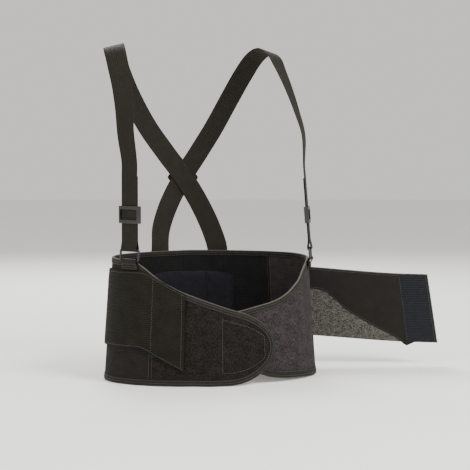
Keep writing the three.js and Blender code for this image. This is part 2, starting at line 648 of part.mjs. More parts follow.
function braces() {
  for (const side of ["left", "right"]) {
    const f = braceFrame(side);
    piece(`shoulder_strap_${side}`, webbing(strapStrip(side), STRAP_WIDTH, STRAP_THICKNESS), MATERIALS.webbing);
    ring(side, f);
    ringTab(side, f);
    slider(side, f);
  }
}

// A square patch is sewn over the place where the straps cross, and a wide one over their ends.
function strapPatches() {
  const outline = roundedRectangle(new THREE.Shape(), CROSS_PATCH_SIZE, CROSS_PATCH_SIZE, 5);
  const cross = new THREE.ExtrudeGeometry(outline, {
    depth: PATCH_WEBBING, bevelEnabled: false, curveSegments: 3,
  });
  cross.rotateZ(Math.PI / 4).rotateX(Math.PI / 2);
  piece("cross_patch", cross, MATERIALS.webbing).position.set(0, CROSS_PATCH_Y + PATCH_WEBBING, CROSS_PATCH_Z);
  const half = BACK_END_FROM_CENTRE + STRAP_WIDTH / 2 + 4;
  const inner = TAPE_FACE + 2 * GAP + STRAP_THICKNESS + STRAP_BOW;
  piece("strap_end_patch", wrapped({
    at: stations(GIRTH / 2 - half, GIRTH / 2 + half), rows: 1,
    bottom: level(BACK_END_Z - 2), top: level(BACK_HEIGHT), inner: level(inner), outer: level(inner + PATCH_WEBBING),
  }), MATERIALS.webbing);
}

// ---------------------------------------------------------------- assembly and joint axes

// The lines about which pieces turn or slide: a point and a direction for each. The right band and the
// flap bend along lines that lie in the belt's leaning surface, on their outer side.
function jointAxes() {
  const line = (from, to) => ({ point: from.toArray(), axis: to.clone().sub(from).normalize().toArray() });
  const leaning = (s, off) => line(onBelt(s, 0, off), onBelt(s, BACK_HEIGHT, off));
  const axes = { closure_flap: leaning(FLAP_HINGE_S, TAPE_FACE) };
  BAND_JOINTS.left.forEach((along, i) => {
    axes[`pull_band_left_${i + 1}`] = line(
      onPulledBand(along, 0, BAND_INNER), onPulledBand(along, BACK_HEIGHT, BAND_INNER),
    );
  });
  BAND_JOINTS.right.forEach((along, i) => {
    axes[`pull_band_right_${i + 1}`] = leaning(along - BAND_SEAM_S, BAND_OUTER);
  });
  for (const side of ["left", "right"]) {
    const f = braceFrame(side);
    axes[`slider_${side}`] = { point: f.middle.toArray(), axis: f.lean.toArray() };
  }
  return axes;
}

beltPanels();
closureHookPatch();
bindings();
staysAndChannels();
lumbarPad();
pullBand("left");
pullBand("right");
bandAnchorTapes();
braces();
strapPatches();
root.userData.jointAxes = jointAxes();
root.userData.girth = GIRTH;

export default root;
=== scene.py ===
import bisect
import json
import math

import bmesh
import bpy
from mathutils import Matrix, Vector, noise


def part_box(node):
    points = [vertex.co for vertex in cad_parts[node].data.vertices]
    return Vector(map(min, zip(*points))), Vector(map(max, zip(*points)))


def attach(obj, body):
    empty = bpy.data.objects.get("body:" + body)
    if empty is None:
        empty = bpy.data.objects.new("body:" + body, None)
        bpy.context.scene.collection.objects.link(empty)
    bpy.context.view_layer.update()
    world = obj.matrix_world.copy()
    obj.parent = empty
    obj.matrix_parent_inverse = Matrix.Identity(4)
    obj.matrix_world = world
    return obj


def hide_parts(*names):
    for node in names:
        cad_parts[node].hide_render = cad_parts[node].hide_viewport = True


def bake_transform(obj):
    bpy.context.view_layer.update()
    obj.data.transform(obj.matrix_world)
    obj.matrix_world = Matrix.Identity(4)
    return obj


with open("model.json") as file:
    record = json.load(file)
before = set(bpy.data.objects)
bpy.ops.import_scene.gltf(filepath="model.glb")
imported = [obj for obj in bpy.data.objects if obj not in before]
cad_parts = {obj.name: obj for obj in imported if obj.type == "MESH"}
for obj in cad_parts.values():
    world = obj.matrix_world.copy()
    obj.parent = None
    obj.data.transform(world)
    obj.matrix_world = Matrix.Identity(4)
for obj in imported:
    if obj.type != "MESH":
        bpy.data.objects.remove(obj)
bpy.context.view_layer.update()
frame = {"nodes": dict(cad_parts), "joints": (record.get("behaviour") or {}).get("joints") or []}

# ---- Camera
# A level view from in front and a little to the wearer's right, at the height of the chest, from
# 2.5 metres away with a long lens.
camera_data = bpy.data.cameras.new("camera")
camera_data.lens = 106.4
camera_data.sensor_width = 36
camera_data.clip_end = 60
camera = bpy.data.objects.new("camera", camera_data)
camera.location = (-0.855, -2.349, 0.347)
camera.rotation_euler = (Vector((0.0397, -0.0145, 0.2516)) - camera.location).to_track_quat("-Z", "Y").to_euler()
bpy.context.collection.objects.link(camera)
bpy.context.scene.camera = camera

# ---- Studio
# A plain pale floor, a pale surround, and three large soft lamps: one high in front on the wearer's
# left, a weaker one on the right, and one behind that draws the edges.


def linear(code, alpha=1.0):
    """An sRGB hex colour as the linear values that the shaders take."""
    parts = [int(code[i:i + 2], 16) / 255 for i in (0, 2, 4)]
    return (*(p / 12.92 if p <= 0.04045 else ((p + 0.055) / 1.055) ** 2.4 for p in parts), alpha)


def new_material(name):
    """A material with an empty node tree, and its output."""
    material = bpy.data.materials.new(name)
    material.use_nodes = True
    tree = material.node_tree
    tree.nodes.clear()
    return material, tree, tree.nodes.new("ShaderNodeOutputMaterial")


def node(tree, kind, settings=None, **inputs):
    """Adds a node. Each input is a value, or the socket that it is linked from."""
    made = tree.nodes.new("ShaderNode" + kind)
    for name, value in (settings or {}).items():
        setattr(made, name, value)
    for name, value in inputs.items():
        socket = made.inputs[int(name[1:])] if name[1:].isdigit() else made.inputs[name.replace("_", " ")]
        if isinstance(value, bpy.types.NodeSocket):
            tree.links.new(value, socket)
        else:
            socket.default_value = value
    return made


FLOOR_Z = -0.0016
floor_mesh = bmesh.new()
bmesh.ops.create_circle(floor_mesh, cap_ends=True, radius=25, segments=64)
bmesh.ops.translate(floor_mesh, verts=floor_mesh.verts, vec=(0, 0, FLOOR_Z))
floor_data = bpy.data.meshes.new("floor")
floor_mesh.to_mesh(floor_data)
floor = bpy.data.objects.new("floor", floor_data)
bpy.context.collection.objects.link(floor)
paper, tree, output = new_material("pale_paper")
shader = node(tree, "BsdfPrincipled", Base_Color=linear("f1f0ee"), Roughness=0.95)
tree.links.new(shader.outputs[0], output.inputs[0])
floor_data.materials.append(paper)

world = bpy.data.worlds.new("surround")
world.use_nodes = True
world.node_tree.nodes["Background"].inputs["Color"].default_value = linear("eceae7")
world.node_tree.nodes["Background"].inputs["Strength"].default_value = 1.0
bpy.context.scene.world = world
for name, place, size, power in (
    ("key", (1.1, -2.3, 2.3), 1.6, 130),
    ("fill", (-2.6, -1.4, 1.5), 2.4, 60),
    ("rim", (0.4, 2.6, 2.4), 1.8, 110),
):
    lamp_data = bpy.data.lights.new(name, "AREA")
    lamp_data.shape = "DISK"
    lamp_data.size = size
    lamp_data.energy = power
    lamp = bpy.data.objects.new(name, lamp_data)
    lamp.location = place
    lamp.rotation_euler = (Vector((0, 0, 0.25)) - Vector(place)).to_track_quat("-Z", "Y").to_euler()
    bpy.context.collection.objects.link(lamp)

# ---- Front, side and back panels
# The belt is cut flat from five panels and sewn end to end round the waist. Lengths here are in
# millimetres: s runs round the waist from the centre of the front towards the wearer's left, z is
# the height, and off is the distance outwards from the middle of the cloth.

MM = 0.001
WAIST_HALF_WIDTH, WAIST_HALF_DEPTH = 187.0, 133.0
WAIST_Z, HIP_FLARE = 110.0, 0.042
WAIST_SIDES = 72
PANEL_HALF = 1.5
BACK_HEIGHT = 218.0
FRONT_SEAM_S, BACK_SEAM_S = 150.0, 345.0
SEAM_GAP = 0.6
UNDER_PANEL_END_S = -40.0
FLAP_TIP_S, FLAP_TIP_Z = 65.0, 62.0
EDGE_UNDER_TAPE = 1.2

ARC_STEPS = 1440


def waist_point(angle):
    return Vector((WAIST_HALF_WIDTH * math.sin(angle), -WAIST_HALF_DEPTH * math.cos(angle)))


arc = [0.0]
for i in range(ARC_STEPS):
    turn = 2 * math.pi / ARC_STEPS
    arc.append(arc[-1] + (waist_point((i + 1) * turn) - waist_point(i * turn)).length)
GIRTH = arc[-1]


def waist_angle(s):
    """The ellipse's angle at a distance s round the waist."""
    turns, rest = divmod(s, GIRTH)
    i = min(bisect.bisect_right(arc, rest) - 1, ARC_STEPS - 1)
    return 2 * math.pi * (turns + (i + (rest - arc[i]) / (arc[i + 1] - arc[i])) / ARC_STEPS)


def on_belt(s, z, off=0.0):
    """A point of the belt, in metres."""
    angle = waist_angle(s)
    wider = 1 + HIP_FLARE * (WAIST_Z - z) / WAIST_Z
    at = waist_point(angle) * wider
    out = Vector((WAIST_HALF_DEPTH * math.sin(angle), -WAIST_HALF_WIDTH * math.cos(angle))).normalized()
    return Vector((at.x + out.x * off, at.y + out.y * off, z)) * MM


def outward(s):
    angle = waist_angle(s)
    return Vector((WAIST_HALF_DEPTH * math.sin(angle), -WAIST_HALF_WIDTH * math.cos(angle), 0)).normalized()


def lerp(a, b, t):
    return a + (b - a) * t


def ease(low, high, x):
    t = min(1.0, max(0.0, (x - low) / (high - low)))
    return t * t * (3 - 2 * t)


def height_through(points):
    """A smooth height along s through chosen points (s, z)."""
    def slope(i):
        a, b = points[max(0, i - 1)], points[min(len(points) - 1, i + 1)]
        return (b[1] - a[1]) / (b[0] - a[0])

    def height(s):
        i = 0
        while i < len(points) - 2 and s > points[i + 1][0]:
            i += 1
        (s0, z0), (s1, z1) = points[i], points[i + 1]
        h = s1 - s0
        t = min(1.0, max(0.0, (s - s0) / h))
        c = z0 + (z1 - z0) * t * t * (3 - 2 * t)
        return c + h * t * (1 - t) * ((1 - t) * slope(i) - t * slope(i + 1))
    return height


top_left = height_through([
    (UNDER_PANEL_END_S, 116), (3, 125), (41, 133), (62, 137), (85, 143), (98, 148), (111, 154), (126, 163),
    (144, 174), (162, 190), (185, 203), (215, 210), (254, 213), (300, 215), (GIRTH / 2, BACK_HEIGHT),
])
bottom_left = height_through([
    (UNDER_PANEL_END_S, 32), (0, 25), (40, 16), (56, 10.5), (76, 7), (100, 4.5), (130, 3), (165, 1), (205, 0),
    (GIRTH / 2, 0),
])
top_right_rising = height_through([
    (-80, 99), (0, 124), (17, 129), (34, 135), (51, 141), (68, 147), (84, 153), (102, 160), (119, 168),
    (137, 177), (156, 190), (166, 197), (183, 206), (212, 211), (254, 213), (300, 215), (GIRTH / 2, BACK_HEIGHT),
])


def top_right(s):
    return top_right_rising(-s)


def back_top(s):
    return top_left(min(s, GIRTH - s))


def level(z):
    return lambda s: z


def tip_share(s, start, roundness):
    """How much of the flap's height, above or below its tip's own height, is left at s."""
    x = min(1.0, max(0.0, (s - start) / (FLAP_TIP_S - start)))
    return max(0.0, 1 - x ** roundness) ** (1 / roundness)


def flap_top(s):
    return lerp(FLAP_TIP_Z, top_right(s), tip_share(s, 0, 2.5))


def flap_bottom(s):
    return FLAP_TIP_Z * (1 - tip_share(s, -20, 1.85))


FLAP_LIFT = 5.7


def flap_lift(s):
    """The flap rises over the left front panel."""
    return FLAP_LIFT * ease(-80, -46, s)


def ripple(a, b, size, depth):
    """Soft unevenness of cloth, size millimetres from one rise to the next."""
    return depth * noise.noise(Vector((a / size, b / size, size)))


def sewn(name, columns, rows, cut, lay, material, closed_across=False, sharp=50):
    """A piece of cloth with a thickness. cut(u, v) is a point of the flat cut in millimetres, and
    lay(a, b, side) is where that point ends up, in metres, side -1 for the inner face and 1 outside."""
    mesh = bmesh.new()
    bmesh.ops.create_grid(mesh, x_segments=columns, y_segments=rows, size=0.5)
    bmesh.ops.solidify(mesh, geom=mesh.faces[:], thickness=0.01)
    heights = [v.co.z for v in mesh.verts]
    middle = (min(heights) + max(heights)) / 2
    flat = {}
    for vertex in mesh.verts:
        a, b = cut(vertex.co.x + 0.5, vertex.co.y + 0.5)
        flat[vertex.index] = (a, b)
        vertex.co = lay(a, b, 1 if vertex.co.z > middle else -1)
    pattern = mesh.loops.layers.uv.new("cut")
    for face in mesh.faces:
        for loop in face.loops:
            a, b = flat[loop.vert.index]
            loop[pattern].uv = (a * MM, b * MM)
    if closed_across:
        bmesh.ops.remove_doubles(mesh, verts=mesh.verts, dist=1e-6)
    return finished(name, mesh, [material], sharp)


def finished(name, mesh, materials, sharp=50):
    """The object of a mesh, with its faces outwards and its soft edges shaded smooth."""
    bmesh.ops.recalc_face_normals(mesh, faces=mesh.faces)
    if mesh.calc_volume(signed=True) < 0:  # a thin curved shell can be taken for one turned inside out
        bmesh.ops.reverse_faces(mesh, faces=mesh.faces)
    data = bpy.data.meshes.new(name)
    mesh.to_mesh(data)
    mesh.free()
    data.shade_smooth()
    data.set_sharp_from_angle(angle=math.radians(sharp))
    for material in materials:
        data.materials.append(material)
    piece = bpy.data.objects.new(name, data)
    bpy.context.collection.objects.link(piece)
    return piece


def fabric(name, dark, light, mottle=12.0, grain=1.0, grain_depth=0.25, rib=None, rib_way="Y", rib_depth=0.3,
           rib_tone=0.35, cross=None, roughness=0.9, sheen=0.04, sheen_tint="8a8580", speck=None, wear_and_highlight=None, cloudy=0.3,
           contrast=(0.36, 0.66), drawn=1.0):
    """A cloth. Sizes are millimetres on the flat cut: mottle is the size of the cloudy changes of
    colour, grain that of its fibres or knit, rib and cross the spacing of its ribs and cross threads."""
    material, tree, output = new_material(name)
    flat = node(tree, "TexCoord").outputs["UV"]
    cloud = node(tree, "TexNoise", Vector=flat, Scale=1000 / mottle, Detail=3.0, Roughness=0.6).outputs[0]
    lengthwise = node(tree, "Mapping", Vector=flat, Scale=(1, 1 / drawn, 1)).outputs[0]
    fibre = node(tree, "TexNoise", Vector=lengthwise, Scale=1000 / grain, Detail=2.0, Roughness=0.7).outputs[0]
    tone = node(tree, "Mix", _0=cloudy, _2=fibre, _3=cloud).outputs[0]
    tone = node(tree, "MapRange", Value=tone, From_Min=contrast[0], From_Max=contrast[1]).outputs[0]
    height = node(tree, "Math", {"operation": "MULTIPLY"}, _0=fibre, _1=grain_depth).outputs[0]
    for spacing, way, depth in ((rib, rib_way, rib_depth), (cross, "X" if rib_way == "Y" else "Y", rib_depth * 0.6)):
        if spacing:
            wave = node(tree, "TexWave", {"bands_direction": way}, Vector=flat, Scale=314.16 / spacing,
                        Distortion=0.6, Detail=1.0, Detail_Scale=2.0).outputs["Fac"]
            raised = node(tree, "Math", {"operation": "MULTIPLY"}, _0=wave, _1=depth).outputs[0]
            height = node(tree, "Math", {"operation": "ADD"}, _0=height, _1=raised).outputs[0]
            tint = node(tree, "Math", {"operation": "MULTIPLY_ADD"}, _0=wave, _1=rib_tone, _2=-rib_tone / 2)
            tone = node(tree, "Math", {"operation": "ADD"}, _0=tone, _1=tint.outputs[0]).outputs[0]
    colour = node(tree, "Mix", {"data_type": "RGBA", "clamp_factor": True}, _0=tone, _6=linear(dark), _7=linear(light)).outputs[2]
    if speck:
        size, shade, amount = speck
        fleck = node(tree, "TexNoise", Vector=flat, Scale=1000 / size, Detail=4.0, Roughness=0.75).outputs[0]
        share = node(tree, "MapRange", Value=fleck, From_Min=0.56, From_Max=0.7, To_Max=amount).outputs[0]
        colour = node(tree, "Mix", {"data_type": "RGBA"}, _0=share, _6=colour, _7=linear(shade)).outputs[2]
    # A pale stripe along a line of the cut, broken up by the fibres: rubbed wear and a painted highlight together.
    if wear_and_highlight:
        place, width, shade, amount = wear_and_highlight
        across = node(tree, "SeparateXYZ", Vector=flat).outputs[1]
        away = node(tree, "Math", {"operation": "SUBTRACT"}, _0=across, _1=place * MM).outputs[0]
        away = node(tree, "Math", {"operation": "ABSOLUTE"}, _0=away).outputs[0]
        near = node(tree, "MapRange", Value=away, From_Min=width * MM, From_Max=0.0, To_Max=amount).outputs[0]
        near = node(tree, "Math", {"operation": "MULTIPLY"}, _0=near, _1=fibre).outputs[0]
        colour = node(tree, "Mix", {"data_type": "RGBA"}, _0=near, _6=colour, _7=linear(shade)).outputs[2]
    bump = node(tree, "Bump", Strength=0.9, Distance=MM, Height=height)
    shader = node(tree, "BsdfPrincipled", Base_Color=colour, Roughness=roughness, Specular_IOR_Level=0.12,
                  Sheen_Weight=sheen, Sheen_Roughness=0.45, Sheen_Tint=linear(sheen_tint), Normal=bump.outputs[0])
    tree.links.new(shader.outputs[0], output.inputs[0])
    return material


# Brushed loop fabric: a warm near-black knit whose surface is brushed up into soft loops, so that it is
# matt and fuzzy. Its tufts are about 0.8 mm across and are drawn 1.6 mm so that they show.
loop_fabric = fabric("brushed_loop_fabric", "080706", "231f1c", mottle=16, grain=2.2, grain_depth=0.7,
                     roughness=0.97, sheen=0.03, sheen_tint="9a9088", speck=(2.6, "38322e", 0.7),
                     contrast=(0.4, 0.62), drawn=1.8)
# The left front panel takes a lit copy of the loop fabric: painted light, paler and a little purple.
lit_loop_fabric = fabric("brushed_loop_fabric_painted_lit", "171414", "3a3435", mottle=16, grain=2.2, grain_depth=0.7,
                      roughness=0.97, sheen=0.06, sheen_tint="9a9088", speck=(2.6, "544c4e", 0.7),
                      contrast=(0.4, 0.62), drawn=1.8)
# Ribbed elastic: woven over rubber threads 3 mm apart, which stand up as level ribs.
side_elastic = fabric("ribbed_elastic", "0d0c0a", "24211d", mottle=20, grain=0.9, grain_depth=0.2, rib=3.2,
                      rib_way="Y", rib_depth=0.5, rib_tone=0.3, cross=2.4, roughness=0.85, sheen=0.04)
# The left side panel takes a lit copy of the ribbed elastic: painted light, its ribs paler and warm.
lit_side_elastic = fabric("ribbed_elastic_painted_lit", "181415", "3c3637", mottle=16, grain=1.4, grain_depth=0.4, rib=3.2,
                        rib_way="Y", rib_depth=0.5, rib_tone=0.3, cross=2.4, roughness=0.9, sheen=0.06)
# Spacer mesh: an open knit, its round holes 3.4 mm apart in both directions.
back_mesh = fabric("knitted_spacer_mesh", "0a0a0a", "1f1e1e", mottle=25, grain=1.0, grain_depth=0.2, rib=3.4,
                   rib_way="X", rib_depth=0.6, rib_tone=0.5, cross=3.4, roughness=0.9, sheen=0.04)


def belt_panel(name, start, end, bottom, top, material, nodes, slot, columns, rows=26, lift=level(0), tip=False):
    """One cut panel of the belt, its edges ending inside the binding."""
    def cut(u, v):
        s = lerp(start, end, 1 - (1 - u) ** 1.7 if tip else u)
        low, high = bottom(s), top(s)
        half = max(0.4, (high - low) / 2 - EDGE_UNDER_TAPE)
        return s, (low + high) / 2 + (2 * v - 1) * half

    def lay(s, z, side):
        return on_belt(s, z, lift(s) + side * PANEL_HALF + ripple(s, z, 38, 0.3))
    piece = sewn(name, columns, rows, cut, lay, material)
    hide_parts(*nodes)
    return piece


left_seam = (FRONT_SEAM_S - SEAM_GAP / 2, FRONT_SEAM_S + SEAM_GAP / 2)
back_seam = (BACK_SEAM_S - SEAM_GAP / 2, BACK_SEAM_S + SEAM_GAP / 2)
# The left front and left side panels take the painted lit copies of their cloths, paler for the light on that side.
for name, start, end, bottom, top, material, slot, columns in (
    ("front_panel_left", UNDER_PANEL_END_S + EDGE_UNDER_TAPE, left_seam[0], bottom_left, top_left, lit_loop_fabric, "loop_fabric", 60),
    ("side_panel_left", left_seam[1], back_seam[0], bottom_left, top_left, lit_side_elastic, "side_elastic", 60),
    ("side_panel_right", -back_seam[0], -left_seam[1], level(0), top_right, side_elastic, "side_elastic", 60),
    ("back_panel", back_seam[1], GIRTH - back_seam[1], level(0), back_top, back_mesh, "back_mesh", 90),
):
    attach(belt_panel(name + "_cloth", start, end, bottom, top, material, [name], slot, columns), "belt")

# The right front panel and its flap are one cut of cloth. The flap stands out a little over the left front panel.
FLAP_BEND_START, FLAP_BEND_END = on_belt(-104, 60), on_belt(-72, 60)


right_front = belt_panel("front_panel_right_and_flap", -left_seam[0], FLAP_TIP_S - EDGE_UNDER_TAPE, flap_bottom, flap_top,
                         loop_fabric, ["front_panel_right", "closure_flap"], "loop_fabric", 96, 30, flap_lift, tip=True)
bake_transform(right_front)

# ---- Stitching
# Lockstitch in thick polyester thread, each stitch a small raised bead about 2.6 mm long. It is sewn
# in rows along every binding, tape and patch, and rides with the cloth that it holds.
STITCH_PITCH, STITCH_HALF_LENGTH, STITCH_HALF_WIDTH = 4.0, 1.4, 0.42


def stitch_row(mesh, path):
    """Lays stitches along a finely spaced path of (point in metres, way out of the cloth)."""
    travelled, due = 0.0, STITCH_PITCH / 2
    for (a, out), (b, _) in zip(path, path[1:]):
        step = (b - a).length / MM
        while step > 0 and due <= travelled + step:
            along = (b - a).normalized()
            at = a.lerp(b, (due - travelled) / step)
            up = (out - along * out.dot(along)).normalized()
            turned = Matrix((along, up.cross(along), up)).transposed().to_4x4()
            sizes = Matrix.Diagonal((STITCH_HALF_LENGTH * MM, STITCH_HALF_WIDTH * MM, 0.3 * MM, 1))
            bmesh.ops.create_icosphere(mesh, subdivisions=1, radius=1,
                                       matrix=Matrix.Translation(at) @ turned @ sizes)
            due += STITCH_PITCH
        travelled += step


# Polyester thread, dark olive, a little glossier than the cloth.
thread, tree, output = new_material("polyester_thread")
place = node(tree, "TexCoord").outputs["Object"]
twist = node(tree, "TexNoise", Vector=place, Scale=900.0, Detail=1.0).outputs[0]
shade = node(tree, "Mix", {"data_type": "RGBA"}, _0=twist, _6=linear("2a2924"), _7=linear("4f4d43")).outputs[2]
bump = node(tree, "Bump", Strength=0.5, Distance=0.0002, Height=twist)
shader = node(tree, "BsdfPrincipled", Base_Color=shade, Roughness=0.6, Sheen_Weight=0.1, Normal=bump.outputs[0])
tree.links.new(shader.outputs[0], output.inputs[0])


def stitching(name, rows, body=None, bend=None):
    """One piece of all the rows of stitches that move together."""
    mesh = bmesh.new()
    for path in rows:
        stitch_row(mesh, path)
    piece = finished(name, mesh, [thread], 180)
    if bend:
        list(bend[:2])
        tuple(bend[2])
        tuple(bend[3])
        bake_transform(piece)
    else:
        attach(piece, body)
    return piece


# ---- Binding
# A woven tape is folded in half over every raw edge and sewn through in two rows, which pull it down
# so that it swells a little between them. It is 9 mm deep along the tops and 11.5 mm along the bottoms.
TAPE_HALF = 0.4
FOLD_CENTRE, FOLD_REACH, FOLD_HALF = 1.6, 2.3, 2.2
# Binding tape: olive grey, lighter than the panels, its fine cross ribs drawn 2 mm apart so that they show,
# and paler along the fold: partly rubbed wear, partly a painted highlight.
binding_tape = fabric("woven_binding_tape", "12110f", "252420", mottle=9, grain=0.9, grain_depth=0.2, rib=2.0,
                      rib_way="X", rib_depth=0.3, rib_tone=0.3, roughness=0.75, sheen=0.05, sheen_tint="a8a69a",
                      wear_and_highlight=(0.0, 3.2, "77766a", 0.9))


def tape_profile(b, width):
    """The middle of the folded tape at b millimetres from its fold: how far in from the edge, how far
    out from the cloth's middle, and the way it faces in those two directions."""
    quarter = 3.6
    side = 1 if b >= 0 else -1
    away = abs(b)
    if away <= quarter:
        turn = math.pi / 2 * away / quarter
        return FOLD_CENTRE - FOLD_REACH * math.cos(turn), side * FOLD_HALF * math.sin(turn), -math.cos(turn), side * math.sin(turn)
    inset = FOLD_CENTRE + away - quarter
    swell = math.sin(math.pi * min(1.0, (inset - FOLD_CENTRE) / (width - 1.2 - FOLD_CENTRE)))
    off = lerp(FOLD_HALF, PANEL_HALF + TAPE_HALF + 0.06, ease(FOLD_CENTRE, width, inset)) + 0.22 * swell
    return inset, side * off, 0.0, side


def edge_path(points):
    """The edge with its way inwards at each point, the cloth on the right seen from outside."""
    path = []
    for i, (s, z) in enumerate(points):
        before, after = points[max(0, i - 1)], points[min(len(points) - 1, i + 1)]
        along = Vector((after[0] - before[0], after[1] - before[1])).normalized()
        path.append((s, z, along.y, -along.x))
    return path


def binding(name, points, width, nodes, body=None, bend=None, lift=level(0)):
    """A folded tape along an edge, with its two rows of stitches on both faces."""
    path = edge_path(points)
    last = len(path) - 1
    lengths = [0.0]
    for (s0, z0), (s1, z1) in zip(points, points[1:]):
        lengths.append(lengths[-1] + math.hypot(s1 - s0, z1 - z0))
    half = width - FOLD_CENTRE + 3.6

    def at(i, b, depth):
        s, z, in_s, in_z = path[i]
        uneven = 1 + 0.03 * noise.noise(Vector((lengths[i] / 23, b * 0.2, width)))
        inset, off, face_in, face_out = tape_profile(b * uneven, width)
        inset += face_in * depth
        at_s = s + in_s * inset
        return on_belt(at_s, z + in_z * inset, lift(at_s) + off + face_out * depth)

    order = {round(length, 4): i for i, length in enumerate(lengths)}

    def cut(u, v):
        return lengths[round(u * last)], lerp(-half, half, v)

    def lay(a, b, side):
        return at(order[round(a, 4)], b, side * TAPE_HALF)

    piece = sewn(name, last, 26, cut, lay, binding_tape)
    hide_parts(*nodes)
    if bend:
        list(bend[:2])
        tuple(bend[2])
        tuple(bend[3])
        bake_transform(piece)
    else:
        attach(piece, body)
    rows = []
    for inset in (width - 1.3, 3.7):
        for side in (1, -1):
            b = side * (inset - FOLD_CENTRE + 3.6)
            row = []
            for i in range(last + 1):
                point = at(i, b, TAPE_HALF + 0.04)
                row.append((point, (point - at(i, b, 0)).normalized()))
            rows.append(row)
    stitching(name.replace("tape", "stitches"), rows, body, bend)


def along_edge(start, end, height, step=5.0):
    count = max(2, round(abs(end - start) / step))
    return [(lerp(start, end, i / count), height(lerp(start, end, i / count))) for i in range(count + 1)]


TOP_TAPE, BOTTOM_TAPE = 9.0, 11.5
flap_bend = ("belt", "flap", FLAP_BEND_START, FLAP_BEND_END)
TIP_FROM = 2.0
tip_steps = [math.sin(math.pi / 2 * i / 26) for i in range(1, 26)]
over_tip = [(lerp(TIP_FROM, FLAP_TIP_S, x), flap_top(lerp(TIP_FROM, FLAP_TIP_S, x))) for x in tip_steps]
under_tip = [(lerp(TIP_FROM, FLAP_TIP_S, x), flap_bottom(lerp(TIP_FROM, FLAP_TIP_S, x))) for x in reversed(tip_steps)]
right_edge = [
    *along_edge(-back_seam[0], TIP_FROM, lambda s: top_right(s) if s < 0 else flap_top(s)),
    *over_tip, (FLAP_TIP_S, FLAP_TIP_Z), *under_tip,
    *along_edge(TIP_FROM, -back_seam[0], flap_bottom),
]
binding("binding_tape_right_and_flap", right_edge, 9.6, ["binding_top_right", "binding_bottom_right", "binding_flap"],
        bend=flap_bend, lift=flap_lift)
binding("binding_tape_top_left", along_edge(UNDER_PANEL_END_S, back_seam[0], top_left), TOP_TAPE, ["binding_top_left"], "belt")
binding("binding_tape_bottom_left", along_edge(back_seam[0], UNDER_PANEL_END_S, bottom_left), BOTTOM_TAPE, ["binding_bottom_left"], "belt")
binding("binding_tape_top_back", along_edge(back_seam[1], GIRTH - back_seam[1], back_top), TOP_TAPE, ["binding_top_back"], "belt")
binding("binding_tape_bottom_back", along_edge(GIRTH - back_seam[1], back_seam[1], level(0)), BOTTOM_TAPE, ["binding_bottom_back"], "belt")
end_low, end_high = bottom_left(UNDER_PANEL_END_S) + 12, top_left(UNDER_PANEL_END_S) - 11
end_edge = [(UNDER_PANEL_END_S, lerp(end_low, end_high, i / 14)) for i in range(15)]
binding("binding_tape_end_left", end_edge, 9.5, ["binding_end_left"], "belt")

# ---- Closure patch
# Hook tape sewn under the flap, which grips the loops of the left front panel. Its stitches come
# through and show on the flap's outer face as a curved outline inside the binding.
PATCH_FROM_S, PATCH_MARGIN, PATCH_THICKNESS = -30.0, 19.0, 1.0
PATCH_END_S = FLAP_TIP_S - PATCH_MARGIN
# Hook tape: moulded nylon hooks in rows on a woven ground, drawn 2.2 mm apart so that they show. It is
# stiff, and it glints a little.
hook_tape = fabric("nylon_hook_tape", "0a0b0c", "1e2023", mottle=10, grain=1.1, grain_depth=0.7, rib=2.2,
                   rib_way="Y", rib_depth=0.6, rib_tone=0.4, cross=2.2, roughness=0.5, sheen=0.05)


def patch_cut(u, v):
    s = lerp(PATCH_FROM_S, PATCH_END_S, 1 - (1 - u) ** 1.4)
    low, high = flap_bottom(s) + PATCH_MARGIN, flap_top(s) - PATCH_MARGIN
    return s, lerp(low, high, v)


def patch_lay(s, z, side):
    middle = flap_lift(s) - PANEL_HALF - 0.1 - PATCH_THICKNESS / 2
    return on_belt(s, z, middle + side * PATCH_THICKNESS / 2)


closure_patch = sewn("closure_hook_tape", 30, 20, patch_cut, patch_lay, hook_tape)
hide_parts("closure_hook_patch")
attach(closure_patch, "flap")
patch_outline = []
for k in range(121):
    t = k / 120
    u, v = ((4 * t, 1) if t < 0.25 else (1, 2 - 4 * t) if t < 0.5 else (3 - 4 * t, 0) if t < 0.75 else (0, 4 * t - 3))
    s, z = patch_cut(min(0.97, max(0.0, u)), min(0.98, max(0.02, v)))
    patch_outline.append((s, z))


def on_flap_row(points, off):
    return [(on_belt(s, z, flap_lift(s) + off + ripple(s, z, 38, 0.3)), outward(s) * (1 if off > 0 else -1)) for s, z in points]


stitching("closure_patch_stitches", [on_flap_row(patch_outline, PANEL_HALF + 0.05)], "flap")

# ---- Seams between the panels
# Each upright seam is topstitched in two rows, one on each side of the join.


def upright_row(s, bottom, top, off=PANEL_HALF + 0.05):
    low, high = bottom(s) + 12, top(s) - 10
    return [(on_belt(s, lerp(low, high, i / 60), off * 1.0), outward(s) * (1 if off > 0 else -1)) for i in range(61)]


seam_rows = []
for sign, bottom, top in ((1, bottom_left, top_left), (-1, level(0), top_right)):
    for seam in (FRONT_SEAM_S, BACK_SEAM_S):
        for beside in (-2.6, 2.6):
            seam_rows.append(upright_row(sign * seam + beside, bottom, top))
            seam_rows.append(upright_row(sign * seam + beside, bottom, top, -PANEL_HALF - 0.05))
stitching("panel_seam_stitches", seam_rows, "belt")

# ---- Stays and their channels
# Four flat spring steel stays stand beside the spine, each inside a tape channel that is sewn to the
# back panel down both sides and bar-tacked at its ends.
STAY_FACETS = (-5.5, -2.5, 2.5, 5.5)
CHANNEL_LENGTH, CHANNEL_WALL, CHANNEL_HALF = 172.0, 0.9, 11.2
channel_tape = fabric("woven_channel_tape", "121210", "282823", mottle=8, grain=0.9, grain_depth=0.2, rib=2.2,
                      rib_way="X", rib_depth=0.35, rib_tone=0.35, roughness=0.8, sheen=0.04)
facet = GIRTH / WAIST_SIDES


def facet_outward(s):
    """The way out of the flat facet of the frame that s is on."""
    i = math.floor(s / facet)
    a, b = waist_point(waist_angle(i * facet)), waist_point(waist_angle((i + 1) * facet))
    along = (b - a).normalized()
    return Vector((along.y, -along.x, 0))


